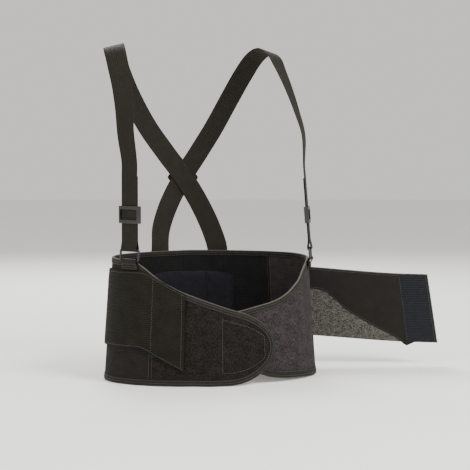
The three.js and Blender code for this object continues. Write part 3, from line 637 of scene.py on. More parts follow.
def channel_height(across):
    """How far a channel's middle stands out from the cloth's middle."""
    return lerp(2.2, 3.6, ease(8.4, 5.7, abs(across)) if abs(across) > 5.7 else 1.0)


for number, position in enumerate(STAY_FACETS, 1):
    s0 = GIRTH / 2 + position * facet
    face = facet_outward(s0)
    beside = face.cross(Vector((0, 0, -1)))

    def channel_at(across, z, depth, s0=s0, face=face, beside=beside):
        return on_belt(s0, z, 0) + beside * (across * MM) + face * ((channel_height(across) + depth) * MM)

    def channel_cut(u, v):
        return lerp(-CHANNEL_HALF, CHANNEL_HALF, u), BACK_HEIGHT / 2 + (v - 0.5) * CHANNEL_LENGTH

    def channel_lay(a, b, side):
        return channel_at(a, b, side * CHANNEL_WALL / 2)
    cover = sewn(f"stay_channel_tape_{number}", 34, 60, channel_cut, channel_lay, channel_tape)
    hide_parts(f"stay_channel_{number}")
    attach(cover, "belt")
    rows = []
    for across in (-9.3, 9.3):
        rows.append([(channel_at(across, BACK_HEIGHT / 2 + (i / 60 - 0.5) * (CHANNEL_LENGTH - 4), CHANNEL_WALL / 2 + 0.04), face)
                     for i in range(61)])
    for z in (BACK_HEIGHT / 2 - CHANNEL_LENGTH / 2 + 2.5, BACK_HEIGHT / 2 + CHANNEL_LENGTH / 2 - 2.5):
        rows.append([(channel_at(lerp(-9, 9, i / 20), z, CHANNEL_WALL / 2 + 0.04), face) for i in range(21)])
    stitching(f"stay_channel_stitches_{number}", rows, "belt")

# Spring steel: cold rolled and ground, so it has fine scratches along its length, drawn 0.5 mm apart.
steel, tree, output = new_material("ground_spring_steel")
place = node(tree, "Mapping", Vector=node(tree, "TexCoord").outputs["Object"], Scale=(1, 1, 0.04)).outputs[0]
scratch = node(tree, "TexNoise", Vector=place, Scale=2000.0, Detail=2.0).outputs[0]
rough = node(tree, "MapRange", Value=scratch, To_Min=0.28, To_Max=0.5).outputs[0]
tone = node(tree, "Mix", {"data_type": "RGBA"}, _0=scratch, _6=linear("8b8e92"), _7=linear("b6b9bc")).outputs[2]
bump = node(tree, "Bump", Strength=0.3, Distance=0.0001, Height=scratch)
shader = node(tree, "BsdfPrincipled", Base_Color=tone, Roughness=rough, Metallic=1.0, Normal=bump.outputs[0])
tree.links.new(shader.outputs[0], output.inputs[0])
for number in range(1, 5):
    data = frame["nodes"][f"stay_{number}"].data
    data.materials.clear()
    data.materials.append(steel)

# ---- Lumbar pad
# A shaped foam pad in brushed cloth, sewn inside the back. It is crowned in the middle, pulled in at
# its corners, and flat where it lies on the back panel. Two sewn lines cross it.
PAD_WIDTH, PAD_HEIGHT, PAD_THICKNESS, PAD_EDGE = 186.0, 146.0, 5.6, 2.2
PAD_REST = -PANEL_HALF - 0.35
pad_cloth = fabric("brushed_pad_cloth", "0f0f12", "232328", mottle=14, grain=1.4, grain_depth=0.4, rib=3.0,
                   rib_way="Y", rib_depth=0.12, rib_tone=0.1, roughness=0.93, sheen=0.06)


def pad_cut(u, v):
    return GIRTH / 2 + (u - 0.5) * PAD_WIDTH, (v - 0.5) * PAD_HEIGHT


def pad_lay(s, b, side):
    across = 2 * (s - GIRTH / 2) / PAD_WIDTH
    up = math.sin(b / PAD_HEIGHT * math.pi)
    height = PAD_HEIGHT * (1 - 0.16 * across ** 4)
    full = math.sqrt(max(0.0, (1 - across ** 4) * (1 - up ** 4)))
    depth = PAD_EDGE + (PAD_THICKNESS - PAD_EDGE) * full
    sewn_line = max(math.exp(-((abs(across) - 0.36) * PAD_WIDTH / 2 / 3.2) ** 2), 0.0)
    return on_belt(s, BACK_HEIGHT / 2 + up * height / 2, PAD_REST if side > 0 else PAD_REST - depth * (1 - 0.35 * sewn_line))


pad = sewn("lumbar_pad_cover", 44, 34, pad_cut, pad_lay, pad_cloth, sharp=120)
remesh = pad.modifiers.new("even", "REMESH")
remesh.mode = "VOXEL"
remesh.voxel_size = 0.0025
bpy.context.view_layer.objects.active = pad
bpy.ops.object.modifier_apply(modifier="even")
rest = [v.co.copy() for v in pad.data.vertices]
cloth = pad.modifiers.new("cloth", "CLOTH")
cloth.settings.use_pressure = True
cloth.settings.uniform_pressure_force = 4
cloth.settings.effector_weights.gravity = 0
for step in range(1, 21):
    bpy.context.scene.frame_set(step)
swollen = pad.evaluated_get(bpy.context.evaluated_depsgraph_get()).data
moved = [v.co.copy() for v in swollen.vertices]
pad.modifiers.clear()
bpy.context.scene.frame_set(1)
for vertex, start, end in zip(pad.data.vertices, rest, moved):
    shift = end - start
    if shift.length > 0.0022:
        shift = shift.normalized() * 0.0022
    vertex.co = start + shift
soft = bmesh.new()
soft.from_mesh(pad.data)
bmesh.ops.subdivide_edges(soft, edges=soft.edges, cuts=1, use_grid_fill=True, smooth=0.6)
bmesh.ops.smooth_vert(soft, verts=soft.verts, factor=0.5, use_axis_x=True, use_axis_y=True, use_axis_z=True)
pattern = soft.loops.layers.uv.get("cut") or soft.loops.layers.uv.new("cut")
for vertex in soft.verts:
    x, y, z = vertex.co / MM
    wider = 1 + HIP_FLARE * (WAIST_Z - z) / WAIST_Z
    angle = math.atan2(x / WAIST_HALF_WIDTH, -y / WAIST_HALF_DEPTH) % (2 * math.pi)
    surface = waist_point(angle) * wider
    out = Vector((WAIST_HALF_DEPTH * math.sin(angle), -WAIST_HALF_WIDTH * math.cos(angle))).normalized()
    off = (Vector((x, y)) - surface).dot(out)
    if off > PAD_REST:
        vertex.co -= Vector((out.x, out.y, 0)) * ((off - PAD_REST) * MM)
    i = angle / (2 * math.pi) * ARC_STEPS
    s = lerp(arc[int(i)], arc[min(ARC_STEPS, int(i) + 1)], i % 1)
    for loop in vertex.link_loops:
        loop[pattern].uv = (s * MM, z * MM)
bmesh.ops.recalc_face_normals(soft, faces=soft.faces)
soft.to_mesh(pad.data)
soft.free()
pad.data.shade_smooth()
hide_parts("lumbar_pad")
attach(pad, "belt")

# ---- Pull bands
# Two elastic bands are sewn to the belt near the back and tighten it. Each has a ribbed outer face and
# a grey brushed inner face, with a smooth black facing cut on a slant inside it. The left band is held
# straight out and the right one lies wrapped round the side.
BAND_SEAM_S = GIRTH / 2 - 136
BAND_HEIGHT, BAND_MID_Z = 132.0, 127.0
BAND_INNER, BAND_CORE, BAND_OUTER, FACING_THICKNESS = 2.9, 4.1, 6.1, 0.9
BAND_LENGTH = {"left": 330.0, "right": 277.0}
BAND_BENDS = {"left": (42.0, 137.0, 232.0), "right": (50.0, 125.0, 200.0)}
BAND_CUTS = {"left": (0.4, 89.5, 184.5, 330.0), "right": (0.4, 87.5, 162.5, 277.0)}
BEND_REACH = {"left": 36.0, "right": 34.0}
HOOK_LENGTH, HOOK_MARGIN = 58.0, 2.0
LEAN_MEETS_Z = WAIST_Z + WAIST_Z / HIP_FLARE
PULLED_OUT = math.radians(-20)
pulled_along = Vector((math.cos(PULLED_OUT), math.sin(PULLED_OUT), 0))
pulled_outwards = Vector((-pulled_along.y, pulled_along.x, 0))
band_middle = {
    "left": height_through([(0, BAND_MID_Z), (100, 120.5), (250, 108.5), (330, 105.5)]),
    "right": height_through([(0, BAND_MID_Z), (100, 128), (192, 128.5), (206, 127), (233, 113), (277, 90)]),
}
facing_below_top = height_through([
    (0, 42), (115, 42), (130, 46), (145, 58), (165, 76), (200, 97), (240, 117), (268, 130),
])
# Brushed lining: mid grey pile with paler and darker tufts, cloudy where it has been stroked.
band_lining = fabric("brushed_grey_lining", "23221f", "5b5953", mottle=7, grain=2.4, grain_depth=0.8,
                     roughness=0.96, sheen=0.08, sheen_tint="b5b0a8", speck=(3.4, "7d7a72", 0.8), cloudy=0.4,
                     contrast=(0.4, 0.62))
# Band elastic: dark olive, ribbed along the band over rubber threads, drawn 3.4 mm apart.
band_elastic = fabric("ribbed_band_elastic", "0a0906", "1f1d16", mottle=22, grain=0.9, grain_depth=0.25, rib=3.4,
                      rib_way="Y", rib_depth=0.55, rib_tone=0.35, cross=1.8, roughness=0.82, sheen=0.05,
                      sheen_tint="8d897a")
# Smooth elastic: a close satin knit, almost black, with the faintest ribs.
smooth_elastic = fabric("smooth_satin_elastic", "100e0c", "1e1b18", mottle=18, grain=0.8, grain_depth=0.12, rib=2.0,
                        rib_way="Y", rib_depth=0.14, rib_tone=0.12, roughness=0.6, sheen=0.03)
# The tabs' hook tape is blue-black, its rows of hooks level.
tab_hook = fabric("nylon_hook_tape_on_tab", "0b0c0f", "1d1f23", mottle=10, grain=1.1, grain_depth=0.6, rib=4.4,
                  rib_way="Y", rib_depth=0.6, rib_tone=0.4, cross=2.2, roughness=0.55, sheen=0.05)


def on_band(side, along, z, off):
    """A point of a band, by its distance from its seam on the belt."""
    if side == "right":
        return on_belt(along - BAND_SEAM_S, z, off)
    reach = along * (LEAN_MEETS_Z - z) / (LEAN_MEETS_Z - BAND_MID_Z)
    return on_belt(BAND_SEAM_S, z, BAND_INNER) + (pulled_along * reach + pulled_outwards * (off - BAND_INNER)) * MM


def band_top(side, along):
    return band_middle[side](along) + BAND_HEIGHT / 2


def band_bottom(side, along):
    return band_middle[side](along) - BAND_HEIGHT / 2


# Where the elastic is drawn together towards the tab it creases: from and to, as distance along the
# band and height, then how high and how wide the crease is.
CREASES = {
    "left": (((20, 150), (150, 139), 0.35, 5), ((60, 92), (240, 84), 0.3, 6)),
    "right": (
        ((120, 180), (215, 148), 1.0, 4.5), ((135, 164), (225, 138), 0.8, 4.5), ((150, 146), (235, 126), 0.7, 5),
        ((70, 174), (150, 166), 0.6, 6), ((150, 96), (235, 104), 0.6, 5), ((100, 118), (205, 116), 0.4, 6),
    ),
}


def creases(side, along, z):
    rise = 0.0
    for (a0, z0), (a1, z1), height, width in CREASES[side]:
        line = Vector((a1 - a0, z1 - z0))
        place = Vector((along - a0, z - z0))
        t = place.dot(line) / line.length_squared
        if 0 < t < 1:
            away = abs(place.x * line.y - place.y * line.x) / line.length
            rise += height * math.sin(math.pi * t) * math.exp(-(away / width) ** 2)
    return rise


def band_sheet(name, side, start, end, bottom, top, middle, thickness, material, columns, rows=40):
    """One layer of a band between two distances from its seam, its long edges rounded."""
    def cut(u, v):
        along = lerp(start, end, u)
        return along, lerp(bottom(along), top(along), 0.5 - 0.5 * math.cos(math.pi * v))

    def lay(along, z, face):
        low, high = bottom(along), top(along)
        from_edge = min(z - low, high - z)
        thin = 0.35 + 0.65 * math.sqrt(min(1.0, max(0.0, from_edge / 1.2)))
        lift = creases(side, along, z) if middle > BAND_CORE else creases(side, along, z) * 0.1
        off = middle + face * thin * thickness / 2 + lift * (1 if face > 0 else 0.15) + ripple(along, z, 45, 0.12)
        return on_band(side, along, z, off)
    return sewn(name, columns, rows, cut, lay, material)


def row_on_band(side, points, off, face):
    """Stitches through a list of (along, z), on the inner (-1) or outer (1) face."""
    path = []
    for (a0, z0), (a1, z1) in zip(points, points[1:]):
        count = max(1, int(math.hypot(a1 - a0, z1 - z0) / 3))
        for i in range(count + 1):
            along, z = lerp(a0, a1, i / count), lerp(z0, z1, i / count)
            at = on_band(side, along, z, off + (creases(side, along, z) if face > 0 else 0))
            out = (on_band(side, along, z, off + 1) - on_band(side, along, z, off)).normalized() * face
            path.append((at, out))
    return path


for side in ("left", "right"):
    end = BAND_LENGTH[side]
    facing_end = end - HOOK_LENGTH - 0.05
    cuts = BAND_CUTS[side]

    def low(a, side=side):
        return band_bottom(side, a)

    def high(a, side=side):
        return band_top(side, a)

    def corner_dip(a, end=end):
        """The corner where the facing meets the tab hangs a little below the band."""
        return 9.0 * max(0.0, 1 - abs(a - (end - HOOK_LENGTH)) / 19)

    def facing_low(a, side=side, corner_dip=corner_dip):
        return max(band_bottom(side, a) + HOOK_MARGIN, band_top(side, a) - facing_below_top(a)) - corner_dip(a)

    def facing_high(a, side=side):
        return band_top(side, a) - HOOK_MARGIN
    owners = (("1", "2"), ("2", "3"), ("3", "4"))
    stands_for = (("1", "2"), ("3",), ("4",))
    for i in range(3):
        start, stop = cuts[i], cuts[i + 1]
        bodies = [f"band_{side}_{n}" for n in owners[i]]
        joint = BAND_BENDS[side][i]
        middle_z = band_middle[side](joint)
        bend = (*bodies, on_band(side, joint - BEND_REACH[side], middle_z, BAND_CORE),
                on_band(side, joint + BEND_REACH[side], middle_z, BAND_CORE))
        columns = max(12, round((stop - start) / 4))
        outer = band_sheet(f"pull_band_elastic_{side}_{i + 1}", side, start, stop, low, high,
                           (BAND_CORE + BAND_OUTER) / 2, BAND_OUTER - BAND_CORE, band_elastic, columns)
        # The inner face of the same cloth is brushed grey pile.
        outer.data.materials.append(band_lining)
        inward = {}
        for face in outer.data.polygons:
            point = face.center / MM
            along_dir = pulled_outwards if side == "left" else Vector((point.x / WAIST_HALF_WIDTH ** 2, point.y / WAIST_HALF_DEPTH ** 2, 0)).normalized()
            face.material_index = 1 if face.normal.dot(along_dir) < -0.3 else 0
        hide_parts(*[f"pull_band_{side}_{n}" for n in stands_for[i]])
        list(bend[:2])
        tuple(bend[2])
        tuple(bend[3])
        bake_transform(outer)
        facing_stop = min(stop, facing_end)
        facing = band_sheet(f"band_facing_cloth_{side}_{i + 1}", side, start, facing_stop, facing_low, facing_high,
                            BAND_INNER + 0.75, FACING_THICKNESS, smooth_elastic, max(12, round((facing_stop - start) / 4)), 24)
        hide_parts(*[f"band_facing_{side}_{n}" for n in stands_for[i]])
        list(bend[:2])
        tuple(bend[2])
        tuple(bend[3])
        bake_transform(facing)
        # Rows along the band's long edges and along the facing's slanting edge.
        steps = [lerp(start, stop, k / 30) for k in range(31)]
        inner_off, outer_off = BAND_INNER + 0.75 - FACING_THICKNESS / 2 - 0.05, BAND_OUTER + 0.02
        rows = [
            row_on_band(side, [(a, high(a) - 3.4) for a in steps], outer_off, 1),
            row_on_band(side, [(a, low(a) + 3.4) for a in steps], outer_off, 1),
            row_on_band(side, [(a, facing_high(a) - 2.6) for a in steps if a < facing_end], inner_off, -1),
            row_on_band(side, [(a, facing_low(a) + 2.6) for a in steps if a < facing_end - 6], inner_off, -1),
        ]
        if i == 2:
            for extra in (2.2, HOOK_LENGTH - 5):
                a = end - HOOK_LENGTH + extra
                rows.append(row_on_band(side, [(a, low(a) + 5), (a, high(a) - 5)], inner_off - 0.1, -1))
                rows.append(row_on_band(side, [(a, low(a) + 5), (a, high(a) - 5)], outer_off, 1))
        stitching(f"pull_band_stitches_{side}_{i + 1}", [row for row in rows if len(row) > 1], bend=bend)

    hook = band_sheet(f"tab_hook_tape_{side}", side, end - HOOK_LENGTH, end - HOOK_MARGIN,
                      lambda a, side=side: band_bottom(side, a) + HOOK_MARGIN - corner_dip(a),
                      lambda a, side=side: band_top(side, a) - HOOK_MARGIN,
                      BAND_INNER + 0.7, 0.95, tab_hook, 16)
    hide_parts(f"hook_patch_{side}")
    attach(hook, f"band_{side}_4")

# ---- Anchor tapes
# A short upright tape is folded over each band's raw end and sewn through to the belt in three rows.
ANCHOR_GAP, ANCHOR_WIDTH = 0.8, 14.0
ANCHOR_LOW, ANCHOR_HIGH = BAND_MID_Z - BAND_HEIGHT / 2 - 4, BAND_MID_Z + BAND_HEIGHT / 2 + 2
for side, sign in (("left", 1), ("right", -1)):
    ends = sorted(sign * (BAND_SEAM_S + ANCHOR_GAP + extra) for extra in (0, ANCHOR_WIDTH))

    def anchor_cut(u, v, ends=ends):
        return lerp(ends[0], ends[1], u), lerp(ANCHOR_LOW, ANCHOR_HIGH, v)

    def anchor_off(s, ends=ends):
        x = (2 * s - ends[0] - ends[1]) / ANCHOR_WIDTH
        return 3.8 + 1.9 * max(0.0, 1 - abs(x) ** 5) ** 0.5 - (0.35 if abs(abs(x) - 0.62) < 0.08 else 0)

    def anchor_lay(s, z, face, anchor_off=anchor_off):
        return on_belt(s, z, anchor_off(s) if face > 0 else PANEL_HALF + 0.35)
    tape = sewn(f"band_anchor_webbing_{side}", 26, 40, anchor_cut, anchor_lay, channel_tape)
    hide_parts(f"band_anchor_tape_{side}")
    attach(tape, "belt")
    centre = sum(ends) / 2
    rows = [[(on_belt(centre + beside, lerp(ANCHOR_LOW + 3, ANCHOR_HIGH - 3, i / 60), anchor_off(centre + beside) + 0.05), outward(centre))
             for i in range(61)] for beside in (-4.3, 0, 4.3)]
    stitching(f"band_anchor_stitches_{side}", rows, "belt")

# ---- Braces
# Elastic webbing 38 mm wide with lengthwise ribs. Each brace goes up from a ring, over the shoulder and
# down across the back to the far side. Its lower end turns round the ring's bar and lies doubled
# behind it, through a slider.
STRAP_WIDTH, STRAP_THICKNESS = 38.0, 1.4
LAYER_GAP = 0.3
RING_BAR, RING_DEPTH = 3.6, 3.0
RING_OPENING = (STRAP_WIDTH + 2, 16.0)
STRAP_BEND = STRAP_THICKNESS / 2 + math.hypot(RING_BAR, RING_DEPTH) / 2 + LAYER_GAP / 2
DOUBLED_FROM, TAIL_END, STRAIGHT_RUN = 16.0, 126.0, 150.0
SLIDER_ABOVE_BAR = 60.0
RING_ABOVE_EDGE, TAB_SEWN, RING_S = 12.0, 13.0, 197.0
BACK_END_Z, BACK_END_FROM_CENTRE = 200.0, 59.0
TAPE_FACE = 2.6
STRAP_RIBS, RIB_DEPTH = 11, 0.26
# Elastic webbing: olive grey polyester, woven over rubber threads that make its ribs about 3.4 mm apart.
brace_webbing = fabric("ribbed_elastic_webbing", "0f0e0b", "27241c", mottle=15, grain=0.9, grain_depth=0.2, rib=STRAP_WIDTH / STRAP_RIBS,
                       rib_way="Y", rib_depth=0.3, rib_tone=0.55, cross=2.0, roughness=0.72, sheen=0.06,
                       sheen_tint="a3a193", cloudy=0.15)
SHOULDER_RUN = {
    "right": (
        (-174, -46, 432, -0.84, -0.54, 0.05), (-173, -35, 476, -0.76, -0.63, 0.15), (-172, -16, 518, -0.64, -0.66, 0.36),
        (-172, 8, 554, -0.5, -0.56, 0.66), (-170, 34, 581, -0.35, -0.36, 0.86), (-164, 62, 591, -0.25, 0.05, 0.97),
        (-153, 92, 581, -0.2, 0.55, 0.8), (-134, 120, 550, -0.18, 0.88, 0.42), (-108, 139, 505, -0.1, 0.97, 0.2),
        (-73, 150, 450, -0.04, 0.99, 0.08), (-36, 154, 402, 0, 1, 0.02), (0, 154, 356, 0, 1, 0),
        (30, 149, 306, 0.04, 1, 0), (50, 139, 258, 0.14, 0.99, 0),
    ),
    "left": (
        (160, -46, 432, 0.82, -0.56, 0.05), (151, -35, 476, 0.74, -0.65, 0.15), (143, -16, 518, 0.62, -0.68, 0.36),
        (137, 8, 554, 0.48, -0.58, 0.66), (134, 34, 581, 0.33, -0.38, 0.86), (129, 62, 591, 0.25, 0.05, 0.97),
        (121, 94, 581, 0.2, 0.55, 0.8), (108, 122, 550, 0.18, 0.88, 0.42), (88, 142, 505, 0.1, 0.97, 0.2),
        (60, 153.6, 450, 0.04, 0.99, 0.08), (30, 157.4, 402, 0, 1, 0.02), (-1, 157.2, 356, 0, 1, 0),
        (-30, 152, 306, -0.04, 1, 0), (-50, 140.5, 258, -0.14, 0.99, 0),
    ),
}


def box_centre(name):
    low_corner, high_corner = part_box(name)
    return (low_corner + high_corner) / 2


def brace_frame(side):
    """The ring's middle, the slider's, and the ways up, across and out of each brace's lower end."""
    sign = 1 if side == "left" else -1
    travel = next(j for j in frame["joints"] if j["name"] == f"slider_{side}_travel")
    ring_middle, slider_middle = box_centre(f"strap_ring_{side}"), box_centre(f"slider_{side}")
    lean = Vector(travel["axis"]).normalized()
    bar = slider_middle - lean * (SLIDER_ABOVE_BAR * MM)
    up = (bar - ring_middle).normalized()
    across = up.cross(facet_outward(sign * RING_S)).normalized()
    return {"sign": sign, "middle": ring_middle, "slider": slider_middle, "bar": bar, "up": up, "lean": lean,
            "across": across, "out": across.cross(up), "lean_out": across.cross(lean)}


def curve_through(points, steps):
    """A smooth curve through points, evenly stepped between each pair, with uneven spacing allowed for."""
    ends = [points[0] * 2 - points[1], *points, points[-1] * 2 - points[-2]]
    made = []
    for i in range(1, len(ends) - 2):
        p0, p1, p2, p3 = ends[i - 1:i + 3]
        d1, d2, d3 = (max(1e-6, (b - a).length) ** 0.5 for a, b in ((p0, p1), (p1, p2), (p2, p3)))
        m1 = ((p1 - p0) / d1 - (p2 - p0) / (d1 + d2) + (p2 - p1) / d2) * d2
        m2 = ((p2 - p1) / d2 - (p3 - p1) / (d2 + d3) + (p3 - p2) / d3) * d2
        for k in range(steps):
            t = k / steps
            made.append(p1 * (2 * t ** 3 - 3 * t ** 2 + 1) + m1 * (t ** 3 - 2 * t ** 2 + t)
                        + p2 * (3 * t ** 2 - 2 * t ** 3) + m2 * (t ** 3 - t ** 2))
    return [*made, points[-1]]


def round_bar(centre, start, over, count=14):
    """Half a turn round a bar."""
    made = []
    for i in range(count + 1):
        turn = math.pi * i / count
        face = start * math.cos(turn) + over * math.sin(turn)
        made.append((centre + face * (STRAP_BEND * MM), face))
    return made


def leg(f, origin, way, out, start, end, off_start, off_end, face, count):
    """A flat run of webbing whose distance from the middle changes smoothly."""
    return [(origin + way * (lerp(start, end, i / count) * MM) + out * (lerp(off_start, off_end, ease(0, 1, i / count)) * MM), face)
            for i in range(count + 1)]


def strap_stations(side):
    """Each station of a brace is where its middle is and which way its face looks."""
    f = brace_frame(side)
    layer = (STRAP_THICKNESS + LAYER_GAP) / 2
    inwards = -f["lean_out"]
    tail = leg(f, f["bar"], f["lean"], f["lean_out"], TAIL_END, DOUBLED_FROM, -layer, -layer, inwards, 40)
    tail += leg(f, f["bar"], f["lean"], f["lean_out"], DOUBLED_FROM, 0.6, -layer, -STRAP_BEND, inwards, 8)[1:]
    bend = round_bar(f["bar"], inwards, -f["lean"])
    rise = leg(f, f["bar"], f["lean"], f["lean_out"], 0.6, DOUBLED_FROM, STRAP_BEND, layer, f["lean_out"], 8)
    rise += leg(f, f["bar"], f["lean"], f["lean_out"], DOUBLED_FROM, TAIL_END, layer, layer, f["lean_out"], 40)[1:]
    s = GIRTH / 2 + f["sign"] * BACK_END_FROM_CENTRE
    run = [(f["bar"] + f["lean"] * (along * MM) + f["lean_out"] * (layer * MM), f["lean_out"]) for along in (TAIL_END, STRAIGHT_RUN)]
    run += [(Vector(row[:3]) * MM, Vector(row[3:]).normalized()) for row in SHOULDER_RUN[side]]
    run += [(on_belt(s, z, TAPE_FACE + LAYER_GAP + STRAP_THICKNESS / 2), outward(s)) for z in (BACK_HEIGHT + 4, BACK_END_Z)]
    places, faces = (curve_through([r[k] for r in run], 14) for k in (0, 1))
    stations = tail + bend[1:] + rise + list(zip(places, faces))[1:]
    return [stations[0], *(b for a, b in zip(stations, stations[1:]) if (b[0] - a[0]).length > 2e-5)]


def webbing(name, stations, width, thickness, ribs, material, rows=66):
    """A strip of ribbed webbing through its stations."""
    last = len(stations) - 1
    lengths, frames = [0.0], []
    for i, (at, face) in enumerate(stations):
        if i:
            lengths.append(lengths[-1] + (at - stations[i - 1][0]).length / MM)
        along = (stations[min(i + 1, last)][0] - stations[max(i - 1, 0)][0]).normalized()
        across = face.cross(along).normalized()
        frames.append((at, across, along.cross(across)))
    order = {round(length, 4): i for i, length in enumerate(lengths)}

    def cut(u, v):
        return lengths[round(u * last)], (v - 0.5) * width

    def lay(a, b, side):
        at, across, out = frames[order[round(a, 4)]]
        share = (b / width + 0.5) * ribs
        rib = 0.5 - 0.5 * math.cos(2 * math.pi * share)
        from_edge = width / 2 - abs(b)
        thin = 0.45 + 0.55 * math.sqrt(min(1.0, from_edge / 1.0))
        return at + across * (b * MM) + out * (side * (thickness / 2 * thin - RIB_DEPTH + RIB_DEPTH * rib) * MM)
    return sewn(name, last, rows, cut, lay, material, sharp=70), frames, lengths


def strip_point(frames, lengths, along, across, side, thickness):
    """A point on the face of a strip of webbing."""
    i = min(len(lengths) - 2, max(0, bisect.bisect_right(lengths, along) - 1))
    t = (along - lengths[i]) / max(1e-6, lengths[i + 1] - lengths[i])
    at = frames[i][0].lerp(frames[i + 1][0], t)
    way, out = frames[i][1].lerp(frames[i + 1][1], t).normalized(), frames[i][2].lerp(frames[i + 1][2], t).normalized()
    return at + way * (across * MM) + out * (side * (thickness / 2 + 0.05) * MM), out * side


for side in ("left", "right"):
    strap, frames, lengths = webbing(f"brace_strap_{side}", strap_stations(side), STRAP_WIDTH, STRAP_THICKNESS, STRAP_RIBS, brace_webbing)
    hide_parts(f"shoulder_strap_{side}")
    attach(strap, "belt")
    # The tail's raw end is turned and sewn across.
    rows = [[strip_point(frames, lengths, from_end, lerp(-17, 17, i / 24), way, STRAP_THICKNESS) for i in range(25)]
            for from_end in (5, 9) for way in (1, -1)]
    stitching(f"brace_strap_stitches_{side}", rows, "belt")

    # A short loop of the same webbing holds the ring, both its ends sewn over the belt's edge.
    f = brace_frame(side)
    bar_z = -RING_OPENING[1] / 2 - RING_BAR / 2
    sewn_end = -RING_ABOVE_EDGE - TAB_SEWN
    outer_leg = STRAP_THICKNESS + LAYER_GAP - STRAP_BEND
    inwards = -f["out"]
    bar = f["middle"] + f["up"] * (bar_z * MM)
    stations = leg(f, f["middle"], f["up"], f["out"], sewn_end, bar_z - 0.4, -STRAP_BEND, -STRAP_BEND, inwards, 8)
    stations += round_bar(bar, inwards, f["up"])[1:]
    stations += leg(f, f["middle"], f["up"], f["out"], bar_z - 0.4, bar_z - 9, STRAP_BEND, outer_leg, f["out"], 6)[1:]
    stations += leg(f, f["middle"], f["up"], f["out"], bar_z - 9, sewn_end, outer_leg, outer_leg, f["out"], 6)[1:]
    tab, frames, lengths = webbing(f"ring_tab_webbing_{side}", stations, STRAP_WIDTH - 1, STRAP_THICKNESS, STRAP_RIBS, brace_webbing)
    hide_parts(f"ring_tab_{side}")
    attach(tab, "belt")
    whole = lengths[-1]
    rows = [[strip_point(frames, lengths, whole - from_end, lerp(-16, 16, i / 24), 1, STRAP_THICKNESS) for i in range(25)]
            for from_end in (1.6, 5.2, 11)]
    rows += [[strip_point(frames, lengths, lerp(whole - 11, whole - 1.6, i / 8), across, 1, STRAP_THICKNESS) for i in range(9)]
             for across in (-16, 16)]
    stitching(f"ring_tab_stitches_{side}", rows, "belt")

# ---- Rings and sliders
# Injection moulded nylon, almost black: a rectangular ring at the foot of each brace, and a three-bar
# slider with two bars in front of the webbing and one behind. Their edges are rounded by the mould
# and catch the light.
moulded, tree, output = new_material("moulded_nylon")
place = node(tree, "TexCoord").outputs["Object"]
grain = node(tree, "TexNoise", Vector=place, Scale=1400.0, Detail=2.0).outputs[0]
flow = node(tree, "TexNoise", Vector=place, Scale=90.0, Detail=2.0).outputs[0]
tone = node(tree, "Mix", {"data_type": "RGBA"}, _0=flow, _6=linear("080807"), _7=linear("0f0e0d")).outputs[2]
rough = node(tree, "MapRange", Value=flow, To_Min=0.36, To_Max=0.5).outputs[0]
bump = node(tree, "Bump", Strength=0.25, Distance=0.0001, Height=grain)
shader = node(tree, "BsdfPrincipled", Base_Color=tone, Roughness=rough, IOR=1.53, Normal=bump.outputs[0])
tree.links.new(shader.outputs[0], output.inputs[0])


def ring_path(t):
    """A point of the ring's middle line, and the way out from the ring there, t from 0 to 1."""
    x, y, corner = (RING_OPENING[0] + RING_BAR) / 2, (RING_OPENING[1] + RING_BAR) / 2, 3.6
    angle = 2 * math.pi * t
    way = Vector((math.cos(angle), math.sin(angle)))
    straight = Vector((x - corner, y - corner))
    # Each quarter turns its corner over the middle third of its share.
    quarter, rest = divmod(4 * t, 1.0)
    corners = ((1, 1), (-1, 1), (-1, -1), (1, -1))[int(quarter) % 4]
    first, last_corner = quarter * math.pi / 2, (quarter + 1) * math.pi / 2
    if rest < 0.3:
        begin = Vector((x, 0)) if quarter % 2 == 0 else Vector((0, y))
        end_point = Vector((x, y - corner)) if quarter % 2 == 0 else Vector((x - corner, y))
        place, facing = begin.lerp(end_point, rest / 0.3), 0.0
    elif rest > 0.7:
        begin = Vector((x - corner, y)) if quarter % 2 == 0 else Vector((x, y - corner))
        end_point = Vector((0, y)) if quarter % 2 == 0 else Vector((x, 0))
        place, facing = begin.lerp(end_point, (rest - 0.7) / 0.3), 1.0
    else:
        facing = (rest - 0.3) / 0.4
        turned = facing * math.pi / 2 if quarter % 2 == 0 else math.pi / 2 - facing * math.pi / 2
        place = straight + Vector((math.cos(turned), math.sin(turned))) * corner
    angle = lerp(first, last_corner, facing)
    return Vector((place.x * corners[0], place.y * corners[1])), Vector((math.cos(angle), math.sin(angle)))


